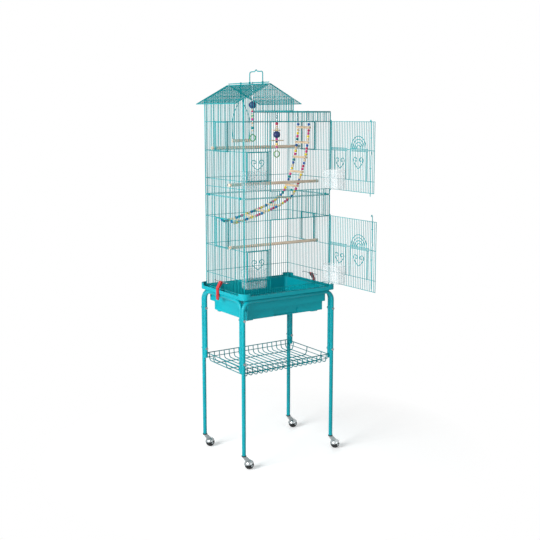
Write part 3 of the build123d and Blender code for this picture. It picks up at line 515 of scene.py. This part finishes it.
hinge_x, hinge_y = 205.4, -155.7
rod_along, rod_out = 262, 5
keeper_x = hinge_x - rod_along
pin_r, keeper_r, keeper_loop_r = 1.5, 1.0, 3.2
for level_name, rails, outline in (
    ("lower", lower_rails, rectangle(-half_w, half_w, foot_z, joint_z)),
    ("upper", upper_rails, gable),
):
    z0, z1 = main_door_z[level_name]
    feeder_low, feeder_high = feeder_z[level_name]
    main_hole = (*main_doorway_u, z0 + lap, z1 - lap)
    feeder_hole = (feeder_u[0] + lap, feeder_u[1] - lap, feeder_low + lap, feeder_high - lap)
    node = "wall_front_" + level_name
    parts = panel(node, front_place, outline, rails, [main_hole, feeder_hole])
    parts.append(guides(node, front_place, *feeder_u, feeder_low, feeder_high))
    pin = [[at(hinge_x, hinge_y, z0 - 4.6), at(hinge_x, hinge_y, z1 + 4.6)]]
    for lug_z in (z0 - 2.6, z1 + 2.6):
        pin.append([at(hinge_x, -wall_y, lug_z), at(hinge_x, hinge_y, lug_z)])
    parts.append(wires(node + "_pin", pin, pin_r))
    keeper_z = z0 - 15
    loop = [at(keeper_x + keeper_loop_r * cos(a),
               hinge_y - rod_out + keeper_loop_r * sin(a), keeper_z) for a in turns(14)]
    tail = [[at(keeper_x, -wall_y, keeper_z), at(keeper_x, hinge_y - 1.8, keeper_z)],
            [at(keeper_x, -151.8, keeper_z), at(keeper_x, -151.8, keeper_z - 8)]]
    parts.append(wires(node + "_keeper", [loop] + tail, keeper_r))
    wall(node, parts)
    wall("wall_back_" + level_name, panel("wall_back_" + level_name, back_place, outline, rails))
for side, place in (("left", left_place), ("right", right_place)):
    for level_name, rails, low, high in (
        ("lower", lower_rails, foot_z, joint_z),
        ("upper", upper_rails + ([1127] if side == "left" else []), joint_z,
         eave_z if side == "left" else top_z),
    ):
        node = f"wall_{side}_{level_name}"
        door_u, door_z = side_door_u[side], side_door_z[level_name]
        hole = (door_u[0] + lap, door_u[1] - lap, door_z[0] + lap, door_z[1] - lap)
        parts = panel(node, place, rectangle(-half_d, half_d, low, high), rails, [hole])
        parts.append(guides(node, place, *door_u, *door_z))
        wall(node, parts)
dress("section_clips", wire_coat)

# Roof: two sloping panels over the gables, the ridge rod, the flat top and the short wall
# between the roof and the flat top, of the same coated wire.
run, roof_half_d = 153.5, 152
slope_long = run * hypot(1, slope)
tilt = atan2(slope, 1)
roof_z = peak_z + frame_r * hypot(1, slope)
for side, way in (("left", -1), ("right", 1)):
    def slope_place(u, v, w, way=way):
        """On one slope: u to the back, v down the slope, w outwards."""
        x = peak_x + way * (v * cos(tilt) + w * sin(tilt))
        return at(x, u, roof_z - v * sin(tilt) + w * cos(tilt))
    node = "roof_" + side
    parts = panel(node, slope_place, rectangle(-roof_half_d, roof_half_d, 6, slope_long),
                  [slope_long * 0.28, slope_long * 0.62], rail_out=-wire_r * 1.7)
    wall(node, parts)


flat_z = top_z + frame_r


def flat_place(u, v, w):
    """On the flat top: u to the right, v to the back, w up."""
    return at(u, v, flat_z + w)


def step_place(u, v, w):
    """On the short wall beside the flat top: u to the back, v up."""
    return at(roof_right - frame_r + w, u, v)


flat_xs = steps_between(roof_right, half_w)
flat_runs = [[flat_place(x, -150, 0), flat_place(x, 150, 0)] for x in flat_xs]
flat_rails = [[flat_place(25, v, -2), flat_place(206, v, -2)] for v in (-49.6, 49.6)]
flat_rim = [flat_place(u, v, 0) for u, v in rectangle(25.6, wall_x, -wall_y, wall_y)]
wall("flat_top", [wires("flat_thin", flat_runs + flat_rails, wire_r),
                  wires("flat_frame", [flat_rim], frame_r, closed=True)])
wall("roof_side", panel("roof_side", step_place,
                        rectangle(-half_d, half_d, top_z + 3.2, step_z), []))
dress("ridge_rod", wire_coat)


def on_cage(piece, slot, *nodes):
    """A piece fixed to the cage, with the nodes it stands for. Its slot argument is not used."""
    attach(piece, "cage")
    if nodes:
        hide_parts(*nodes)


# Carrying handle: one wire bent to a bail with a small raised grip, whose eyes turn on the
# ridge rod. Same coat as the cage.
rod_z = 1535.5
bail = [at(peak_x, y, z) for y, z in (
    (-105, rod_z + 3), (-105, 1560), (-105, 1571), (-102, 1576.5), (-97, 1578), (-75, 1578),
    (-67, 1578.8), (-62, 1582.5), (-58.5, 1585), (-55, 1582.5), (-50, 1578.8), (-42, 1578),
    (-20, 1578), (-15, 1576.5), (-12, 1571), (-12, 1560), (-12, rod_z + 3),
)]


def eye_on(x, y, z, r):
    """A wire eye round a rod that runs from front to back."""
    return [at(x + r * cos(a), y, z + r * sin(a)) for a in turns(16)]


eyes = [eye_on(peak_x, y, rod_z, 3.6) for y in (-105, -12)]
handle = joined("handle_wire", [wires("handle_bail", [bail], 2.0, smooth=True),
                                wires("handle_eyes", eyes, 1.5)], wire_coat)
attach(handle, "handle")
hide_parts("handle")

# Sliding doors: small framed panels of the same wire with a doubled top edge to lift them by;
# the two on the front carry a heart bent from one wire.
heart_line = [
    (0.32, 0.70), (0.22, 0.62), (0.12, 0.72), (0.14, 0.90), (0.30, 1.0), (0.46, 0.90), (0.50, 0.72),
    (0.40, 0.48), (0.20, 0.22), (0.0, 0.0),
]


def heart(place, u, v, wide, tall, w):
    """One heart: two scrolls that meet in a point."""
    half = [(a * wide, b * tall) for a, b in heart_line]
    whole = half + [(-a, b) for a, b in reversed(half[:-1])]
    return [place(u + a, v + b, w) for a, b in whole]


def slide_panel(name, place, u0, u1, v0, v1, hearts=()):
    """The wires of one sliding door."""
    inset, play = 1.5, 0.3
    w = frame_r + play + inset
    thin = [[place(u, v0 + inset, w), place(u, v1 - inset, w)] for u in steps_between(u0, u1)]
    rim = [place(u, v, w)
           for u, v in rectangle(u0 + inset, u1 - inset, v0 + inset, v1 - inset)]
    edge = [[place(u0 + 5, v1 - drop, w + 2.6), place(u1 - 5, v1 - drop, w + 2.6)]
            for drop in (1.4, 3.8)]
    parts = [wires(name + "_thin", thin, wire_r), wires(name + "_rim", [rim], 1.2, closed=True),
             wires(name + "_edge", edge, 1.1)]
    if hearts:
        runs = [heart(place, *h, w) for h in hearts]
        parts.append(wires(name + "_heart", runs, 1.4, smooth=True))
    return parts


for level_name in ("lower", "upper"):
    z0, z1 = feeder_z[level_name]
    node = "feeder_door_" + level_name
    piece = joined(node + "_wires", slide_panel(node, front_place, *feeder_u, z0, z1,
                                                [(-147, z0 + 43, 60, 40)]), wire_coat)
    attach(piece, node)
    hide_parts(node)
    for side, place in (("left", left_place), ("right", right_place)):
        node = f"side_door_{side}_{level_name}"
        parts = slide_panel(node, place, *side_door_u[side], *side_door_z[level_name])
        piece = joined(node + "_wires", parts, wire_coat)
        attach(piece, node)
        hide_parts(node)

# Main doors: framed panels that hang on the front wall's pins by wire loops, with a doubled
# middle rail, two hearts, a rainbow of arches, and two loops that guide the latch rod.
door_reach = 292.5
rod_loop_r, hinge_loop_r = 2.9, 2.6
rod_eyes = {"lower": (124, 244), "upper": (94, 210)}
door_angle = {"lower": 0.0, "upper": radians(3)}
for level_name in ("lower", "upper"):
    z0, z1 = main_door_z[level_name]
    turn = door_angle[level_name]

    def door_place(u, v, w, turn=turn):
        """On the open door: u from the hinge to the free edge, v up, w towards its outer face."""
        return at(hinge_x - u * sin(turn) + w * cos(turn),
                  hinge_y - u * cos(turn) - w * sin(turn), v)

    node = "door_" + level_name
    low_rail, mid_rail = z0 + 46, z0 + 159
    parts = panel(node, door_place, rectangle(2, door_reach, z0, z1), [low_rail])
    rails = []
    for u0, u1 in ((3.6, 108), (130, 248)):
        for v in (mid_rail, mid_rail + 9):
            rails.append([door_place(u0, v, 1.7), door_place(u1, v, 1.7)])
    rails.append([door_place(3.6, mid_rail + 4.5, 1.7), door_place(290, mid_rail + 4.5, 1.7)])
    for u in (25, 103, 131, 240):
        rails.append([door_place(u, low_rail, 1.6), door_place(u, mid_rail, 1.6)])
    parts.append(wires(node + "_rails", rails, 1.3))
    scrolls = [heart(door_place, 62, z0 + 86, 61, 44, 1.8),
               heart(door_place, 185, z0 + 90, 66, 46, 1.8)]
    for r in (49, 37, 25.5, 14.5):
        arch = [door_place(186 + r * cos(a), mid_rail + 9 + r * sin(a), 1.6)
                for a in [pi * i / 18 for i in range(19)]]
        scrolls.append(arch)
    parts.append(wires(node + "_scrolls", scrolls, 1.4, smooth=True))
    loops = []
    for v in [z0 + e + 1.7 for e in rod_eyes[level_name]]:
        loops.append([door_place(rod_along + rod_loop_r * cos(a), v,
                                 rod_out + rod_loop_r * sin(a)) for a in turns(14)])
        loops.append([door_place(rod_along, v, 0.5), door_place(rod_along, v, rod_out - 2.6)])
    for v in (z0 + 3, z0 + 9, (z0 + z1) / 2 - 3, (z0 + z1) / 2 + 3, z1 - 9, z1 - 3):
        loops.append([door_place(hinge_loop_r * cos(a), v, hinge_loop_r * sin(a))
                      for a in turns(14)])
        loops.append([door_place(hinge_loop_r, v, 0), door_place(5, v, 0)])
    parts.append(wires(node + "_loops", loops, 0.9))
    piece = joined(node + "_wires", parts, wire_coat)
    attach(piece, node)
    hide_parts(node)

    # Latch rod of this door: a round rod with a hooked top, a jog for the thumb and a bent tip.
    rod_low = z0 - 21 + {"lower": 31, "upper": 9}[level_name]
    jog = z0 + sum(rod_eyes[level_name]) / 2 + 1.7
    rod = [door_place(rod_along + u, v, rod_out) for u, v in (
        (0, rod_low), (0, jog - 14), (0, jog - 9), (5.5, jog), (0, jog + 9), (0, jog + 14),
        (0, rod_low + 270), (-0.5, rod_low + 286), (-3.5, rod_low + 291.5),
        (-6.5, rod_low + 290), (-7.2, rod_low + 284),
    )]
    node = "latch_" + level_name
    piece = joined(node + "_rod", [wires(node + "_wire", [rod], 1.45, smooth=True)], wire_coat)
    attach(piece, node)
    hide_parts(node)

# Feeding cups: moulded in milky clear plastic, with rounded corners and a rolled lip. Two stand
# behind the front wall and one on the inside of each main door.
cup_wide, cup_deep, cup_tall, cup_wall = 103, 50, 78, 2


def clear_plastic():
    """Milky clear plastic with faint flow marks."""
    material = finish_of("cup_clear", (0.80, 0.86, 0.88), (0.93, 0.96, 0.97), (0.98, 0.99, 1.0),
                         rough=(0.12, 0.3), bump=0.06, grain=160, tone=30, scuffs=0.3)
    shader = material.node_tree.nodes["Principled BSDF"]
    shader.inputs["Alpha"].default_value = 0.17
    return material


cup_clear = clear_plastic()


def cup(name, place, u0, v0, body, node):
    """One cup: an open box with rounded corners and a lip, its back face towards w = 0."""
    bpy.ops.object.select_all(action="DESELECT")
    bpy.ops.mesh.primitive_cube_add(size=1)
    shell = bpy.context.object
    for vertex in shell.data.vertices:
        taper = 0.94 if vertex.co.z < 0 else 1.0
        u = u0 + cup_wide / 2 + vertex.co.x * cup_wide * taper
        v = v0 + (vertex.co.z + 0.5) * cup_tall
        w = cup_deep * 0.5 + vertex.co.y * cup_deep
        if vertex.co.z < 0 and vertex.co.y > 0:
            w -= 5
        vertex.co = place(u, v, w)
    mesh = bmesh.new()
    mesh.from_mesh(shell.data)
    mesh.normal_update()
    top = max(mesh.faces, key=lambda f: f.calc_center_median().z)
    bmesh.ops.delete(mesh, geom=[top], context="FACES_ONLY")
    upright = [e for e in mesh.edges if not e.is_boundary]
    bmesh.ops.bevel(mesh, geom=upright, offset=0.009, segments=4, profile=0.5, affect="EDGES")
    bmesh.ops.recalc_face_normals(mesh, faces=mesh.faces)
    mesh.to_mesh(shell.data)
    mesh.free()
    thick = shell.modifiers.new("wall", "SOLIDIFY")
    thick.thickness = cup_wall / 1000
    thick.offset = -1
    bpy.ops.object.modifier_apply(modifier="wall")
    bpy.ops.object.shade_smooth_by_angle(angle=radians(40))
    lip_line = (
        (u0 + 6, 1.2), (u0 + cup_wide - 6, 1.2), (u0 + cup_wide - 1.2, 6),
        (u0 + cup_wide - 1.2, cup_deep - 7), (u0 + cup_wide - 6, cup_deep - 1.4),
        (u0 + 6, cup_deep - 1.4), (u0 + 1.2, cup_deep - 7), (u0 + 1.2, 6))
    lip_run = [place(u, v0 + cup_tall - 1.2, w) for u, w in lip_line]
    lip = wires(name + "_lip", [lip_run], 1.3, closed=True)
    piece = joined(name, [shell, lip], cup_clear)
    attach(piece, body)
    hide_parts(node)


for level_name in ("lower", "upper"):
    z0 = main_door_z[level_name][0] + 4.5
    turn = door_angle[level_name]

    def behind_front(u, v, w):
        """Behind the front wall: w into the cage."""
        return at(u, -half_d + w, v)

    def inside_door(u, v, w, turn=turn):
        """On the inner face of the open door: w away from the door."""
        return at(hinge_x - u * sin(turn) - (w + 1.1) * cos(turn),
                  hinge_y - u * cos(turn) + (w + 1.1) * sin(turn), v)

    cup("feeding_cup_" + level_name + "_shell", behind_front, feeder_u[0], z0, "cage",
        "feeding_cup_" + level_name)
    cup("door_cup_" + level_name + "_shell", inside_door, 8, z0, "door_" + level_name,
        "door_cup_" + level_name)

# Storage basket: a rim wire with bent wires hung across it and three along it, coated teal, painted
# darker than the cage's wires as shade under the tray.
# Straight wires join the corners of its rim to the four legs.
# The basket's coat is the cage's teal wire coat made darker: painted shade from the tray above it.
basket_painted_shade_coat = finish_of("basket_painted_shade_coat", (0.0, 0.19, 0.22), (0.0, 0.25, 0.28), (0.03, 0.33, 0.36),
                        rough=(0.35, 0.5), bump=0.1, shine=0.12)
rim_z = 418
rim_x, rim_y, rim_drop = 206.4, 151.4, 18
hoop_count, long_count = 17, 3
rim = [at(x, y, rim_z) for x, y in rectangle(-rim_x, rim_x, -rim_y, rim_y)]
second = [at(x, y, rim_z - rim_drop) for x, y in rectangle(-204, 204, -149, 149)]
hoop_half = [(151.6, rim_z), (150, 400), (147, 389), (140, 384.6), (130, 384)]
long_half = [(206.6, rim_z), (204, 400), (200, 388), (192, 382.5), (181, 381.8)]


def slung(half):
    """A wire bent alike at both ends, from one rim down, across and up to the other."""
    return [(-a, z) for a, z in half] + half[::-1]


hoops = []
for i in range(hoop_count):
    x = 208 * (2 * (i + 0.5) / hoop_count - 1)
    hoops.append([at(x, y, z) for y, z in slung(hoop_half)])
long_wires = []
for i in range(long_count):
    y = 153 * (2 * (i + 0.5) / long_count - 1)
    long_wires.append([at(x, y, z) for x, z in slung(long_half)])
hooks = []
for x in (-1, 1):
    for y in (-1, 1):
        hooks.append([at(x * rim_x, y * 141.3, rim_z), at(x * 209.6, y * 141.3, rim_z)])
basket = joined("basket_wires", [
    wires("basket_rim", [rim], 2.0, closed=True),
    wires("basket_second", [second], 1.6, closed=True),
    wires("basket_hoops", hoops, 1.9, smooth=True),
    wires("basket_long", long_wires, 1.9, smooth=True),
    wires("basket_hooks", hooks, 1.6),
], basket_painted_shade_coat)
on_cage(basket, "powder_coat", "storage_basket")

# Red clips: moulded levers on wires of the side walls, which snap down over the tray's lip.
clip_red = finish_of("clip_red", (0.42, 0.008, 0.012), (0.62, 0.02, 0.025), (0.75, 0.15, 0.14),
                     rough=(0.25, 0.4), bump=0.1, grain=500, coat=0.2)
for clip in ("red_clip_left", "red_clip_right"):
    dress(clip, clip_red)
    ease_edges(clip, 0.8)
dress("clip_wires", bright_zinc)

# Perches and swing bar: turned rods of pale softwood, left bare. The perches reach through
# the side walls and have a dark screw in each outer end.


def wood(name, light, dark, axis):
    """Softwood with grain along one axis."""
    material = bpy.data.materials.new(name)
    material.use_nodes = True
    nodes, links = material.node_tree.nodes, material.node_tree.links
    shader = nodes["Principled BSDF"]
    coords = nodes.new("ShaderNodeTexCoord")
    stretch = nodes.new("ShaderNodeMapping")
    stretch.inputs["Scale"].default_value = [18 if i == axis else 260 for i in range(3)]
    grain = nodes.new("ShaderNodeTexNoise")
    grain.inputs["Scale"].default_value = 1
    grain.inputs["Detail"].default_value = 5
    ramp = nodes.new("ShaderNodeValToRGB")
    ramp.color_ramp.elements[0].position = 0.35
    ramp.color_ramp.elements[0].color = (*dark, 1)
    ramp.color_ramp.elements[1].position = 0.6
    ramp.color_ramp.elements[1].color = (*light, 1)
    gloss = nodes.new("ShaderNodeMapRange")
    gloss.inputs["To Min"].default_value = 0.45
    gloss.inputs["To Max"].default_value = 0.65
    relief = nodes.new("ShaderNodeBump")
    relief.inputs["Strength"].default_value = 0.2
    relief.inputs["Distance"].default_value = 0.0005
    links.new(coords.outputs["Object"], stretch.inputs["Vector"])
    links.new(stretch.outputs["Vector"], grain.inputs["Vector"])
    links.new(grain.outputs["Fac"], ramp.inputs["Fac"])
    links.new(ramp.outputs["Color"], shader.inputs["Base Color"])
    links.new(grain.outputs["Fac"], gloss.inputs["Value"])
    links.new(gloss.outputs["Result"], shader.inputs["Roughness"])
    links.new(grain.outputs["Fac"], relief.inputs["Height"])
    links.new(relief.outputs["Normal"], shader.inputs["Normal"])
    return material


perch_wood = wood("perch_wood", (0.88, 0.70, 0.55), (0.74, 0.55, 0.41), 0)
rung_wood = wood("rung_wood", (0.82, 0.63, 0.42), (0.66, 0.46, 0.28), 1)
dress("perches", perch_wood)
dress("swing_bar", perch_wood)
dress("ladder_rungs", rung_wood)
screw_dark = finish_of("screw_dark", (0.10, 0.10, 0.105), (0.2, 0.2, 0.21), (0.4, 0.4, 0.4),
                       rough=(0.3, 0.45), metal=1.0)
screw_r, screw_thick, screw_sunk = 3.1, 1.6, 0.5
screws = []
perch_low, perch_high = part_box("perches")
for y, z in ((-55.1, 892), (-44.1, 1140), (77.2, 1280)):
    for x, way in ((perch_low[0], -1), (perch_high[0], 1)):
        place = (x - way * screw_sunk / 1000, mid_y + y / 1000, z / 1000)
        screws.append(turned("perch_screw", screw_r, screw_thick, place, (0, pi / 2, 0), 16))
perch_screws = joined("perch_screws", screws, screw_dark)
on_cage(perch_screws, "zinc")

# Swing: one wire bent outwards like a bell, hung from the ridge rod by an eye. Its two ends
# are pressed into the wooden bar.
toy_wire = finish_of("toy_wire", (0.45, 0.46, 0.48), (0.65, 0.66, 0.68), (0.3, 0.3, 0.31),
                     rough=(0.2, 0.38), metal=1.0, bump=0.1)
swing_y = 55
swing_run = []
for way in (-1, 1):
    swing_run.append([at(peak_x + way * x, swing_y, z) for x, z in (
        (0, rod_z - 3.6), (1, 1512), (2, 1485), (9, 1462), (28, 1430), (39, 1400),
        (42.5, 1370), (41, 1340), (37.5, 1308))])
swing_eye = [eye_on(peak_x, swing_y, rod_z, 3.5)]
swing = joined("swing_bail", [wires("swing_legs", swing_run, 1.4, smooth=True),
                              wires("swing_ring", swing_eye, 1.2)], wire_coat)
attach(swing, "swing")
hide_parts("swing_wire")

# Beads of the toys and the ladder: turned wood and moulded plastic, dyed in strong colours.
# Each has a bore and is threaded on a wire.
dyes = {
    "navy": (0.012, 0.03, 0.14), "blue": (0.01, 0.11, 0.42), "pink": (0.66, 0.05, 0.22),
    "crimson": (0.55, 0.015, 0.09), "yellow": (0.86, 0.62, 0.02), "teal": (0.0, 0.20, 0.22),
    "magenta": (0.60, 0.03, 0.28), "peach": (0.85, 0.50, 0.30), "green": (0.10, 0.34, 0.05),
    "cream": (0.80, 0.62, 0.42),
}
dye_names = list(dyes)
dyed = [
    finish_of("dye_" + dye, tuple(c * 0.8 for c in dyes[dye]),
              tuple(min(1, c * 1.15) for c in dyes[dye]),
              tuple(min(1, c * 1.6 + 0.05) for c in dyes[dye]),
              rough=(0.3, 0.5), bump=0.2, grain=600, tone=60)
    for dye in dye_names]
ball_from_r = 7
bead_profile = [(0.45, -1.0), (0.86, -0.72), (1.0, 0.0), (0.86, 0.72), (0.45, 1.0)]
round_profile = [(0.12, -0.99), (0.5, -0.87), (0.8, -0.6), (0.97, -0.25), (1.0, 0.0),
                 (0.97, 0.25), (0.8, 0.6), (0.5, 0.87), (0.12, 0.99)]


def threaded(name, beads, sides=14):
    """Beads on a thread, each with its centre, direction, radius, half length and dye."""
    mesh = bmesh.new()
    for centre, thread, r, half, dye in beads:
        turn = Vector(thread).to_track_quat("Z", "Y").to_matrix()
        profile = round_profile if half > r * 0.9 and r > ball_from_r else bead_profile
        rings = []
        for out, lift in profile:
            ring = []
            for i in range(sides):
                a = 2 * pi * i / sides
                local = Vector((out * r * cos(a), out * r * sin(a), lift * half)) / 1000
                ring.append(mesh.verts.new(centre + turn @ local))
            rings.append(ring)
        faces = []
        for low, high in zip(rings, rings[1:]):
            for i in range(sides):
                j = (i + 1) % sides
                faces.append(mesh.faces.new((low[i], low[j], high[j], high[i])))
        faces.append(mesh.faces.new(list(reversed(rings[0]))))
        faces.append(mesh.faces.new(rings[-1]))
        for face in faces:
            face.material_index = dye_names.index(dye)
            face.smooth = True
    data = bpy.data.meshes.new(name)
    mesh.to_mesh(data)
    mesh.free()
    for material in dyed:
        data.materials.append(material)
    piece = bpy.data.objects.new(name, data)
    bpy.context.collection.objects.link(piece)
    return piece


# Hanging toys: a wire with an eye at the top, a ring at the foot, a big navy ball and
# small pieces of dyed and bare wood in between.
up = (0, 0, 1)
toy_right_x = min(flat_xs, key=lambda x: abs(x - 47))
ring_r, ring_drop = 12.9, 15
link_half_w, link_half_l, link_step = 3, 6.5, 11
for name, x, y, top, low, beads in (
    ("toy_left", peak_x, -32, rod_z, 1336, [
        (1450, 15.4, 15, "navy"), (1430, 4.5, 3, "peach"), (1424, 6.5, 3, "pink"),
        (1414, 7, 2.5, "cream"), (1407, 7.5, 2.5, "green"), (1401, 7, 2.5, "cream"),
        (1394, 5.5, 5, "magenta"), (1380, 5, 4, "peach"), (1370, 4.5, 3, "cream"),
        (1360, 6.5, 5, "teal"), (1350, 5, 3, "cream")]),
    ("toy_right", toy_right_x, 0, flat_z, 1268, [
        (1376, 6.5, 5.5, "crimson"), (1365, 5, 3, "peach"), (1357, 8, 2.4, "cream"),
        (1350, 5, 2.4, "yellow"), (1332, 15, 14.6, "navy"), (1313, 5.5, 4.5, "magenta"),
        (1303, 4.5, 4, "navy"), (1294, 6, 3, "yellow"), (1288, 6.5, 3, "peach"),
        (1281, 5.5, 3.5, "magenta")]),
):
    eye_r = 3.5 if name == "toy_left" else 3.1
    thread = [[at(x, y, top - eye_r), at(x, y, low)]]
    eye = [eye_on(x, y, top, eye_r)]
    ring = [[at(x + ring_r * cos(a), y, low - ring_drop + ring_r * sin(a))
             for a in turns(36, shut=False)]]
    chain = []
    for i in range(5):
        link_z = top - eye_r - 6 - link_step * i
        across = i % 2
        chain.append([
            at(x + link_half_w * cos(a) * across, y + link_half_w * cos(a) * (1 - across),
               link_z + link_half_l * sin(a))
            for a in turns(12, shut=False)])
    hang = joined(name + "_wire", [
        wires(name + "_thread", thread, 1.2), wires(name + "_eye", eye, 1.2),
        wires(name + "_chain", chain, 0.8, closed=True)], toy_wire)
    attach(hang, name)
    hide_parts(name)
    ring_piece = joined(name + "_ring", [wires(name + "_ring_wire", ring, 2.0, closed=True)],
                        dyed[dye_names.index("green")])
    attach(ring_piece, name)
    row = [(at(x, y, z), up, r, half, dye) for z, r, half, dye in beads]
    if name == "toy_right":
        row += [(at(x, y, 1308), (1, 0, 0), 2.6, 38, "cream"),
                (at(x, y, 1349.5), (1, 0, 0), 2.4, 19, "peach")]
    string = threaded(name + "_string", row, 20)
    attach(string, name)
    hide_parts(name + "_beads")

# Bending ladder: two strands of wire from the flat top to the left wall, bare wooden rungs,
# and dyed beads threaded on the strands between them.
ladder_x = min(flat_xs, key=lambda x: abs(x - 180))
ladder_line = [
    (ladder_x, 1421.4), (181, 1361), (169, 1258), (140, 1160), (104, 1086), (50, 1052), (-38, 1022),
    (-120, 1000), (-188, 986), (-203.8, 1003),
]


def softened(points):
    """A polyline with its corners rounded as wide as the shorter run beside each allows."""
    line = [points[0]]
    for before, corner, after in zip(points, points[1:], points[2:]):
        run_in, run_out = corner - before, after - corner
        cut = 0.45 * min(run_in.length, run_out.length)
        start, end = corner - run_in.normalized() * cut, corner + run_out.normalized() * cut
        for i in range(7):
            t = i / 6
            line.append(start * (1 - t) ** 2 + corner * 2 * t * (1 - t) + end * t ** 2)
    line.append(points[-1])
    return line


def point_along(line, share):
    """Point and direction at a share of a line's length."""
    lengths = [(b - a).length for a, b in zip(line, line[1:])]
    left = share * sum(lengths)
    for a, b, long in zip(line, line[1:], lengths):
        if left <= long:
            return a + (b - a) * left / long, (b - a).normalized()
        left -= long
    return line[-1], (line[-1] - line[-2]).normalized()


strand_y, rung_gap = 38, 62
strands, beads = [], []
colours = {
    -strand_y: ["pink", "blue", "yellow", "crimson", "cream"],
    strand_y: ["yellow", "blue", "pink", "cream", "teal"],
}
for y in (-strand_y, strand_y):
    line = softened([at(x, y, z) for x, z in ladder_line])
    strands.append(line)
    total = sum((b - a).length for a, b in zip(line, line[1:]))
    bays = round(total * 1000 / rung_gap)
    order = colours[y]
    for i in range(bays):
        for k, share in enumerate((0.2, 0.4, 0.6, 0.8)):
            centre, thread = point_along(line, (i + share) / bays)
            if i == 0 and k < 3:
                continue
            dye = order[(i * 3 + k * 2) % 5]
            r = 6.0 if (i + k) % 2 else 5.6
            beads.append((centre, thread, r, 5.3, dye))
chains = []
for line in strands:
    for i in range(4):
        centre = line[0] + (line[1] - line[0]) * (0.12 + 0.2 * i)
        across = i % 2
        chains.append([
            centre + Vector((0.003 * cos(a) * across, 0.003 * cos(a) * (1 - across),
                             0.0062 * sin(a)))
            for a in turns(12, shut=False)])
ladder_eyes = [eye_on(ladder_x, y, flat_z, 3.1) for y in (-strand_y, strand_y)]
ladder = joined("ladder_strands", [
    wires("ladder_lines", strands, 1.3), wires("ladder_hooks", ladder_eyes, 1.2),
    wires("ladder_chains", chains, 0.8, closed=True)], toy_wire)
on_cage(ladder, "toy_wire", "ladder_wires")
string = threaded("ladder_string", beads)
on_cage(string, "beads", "ladder_beads")
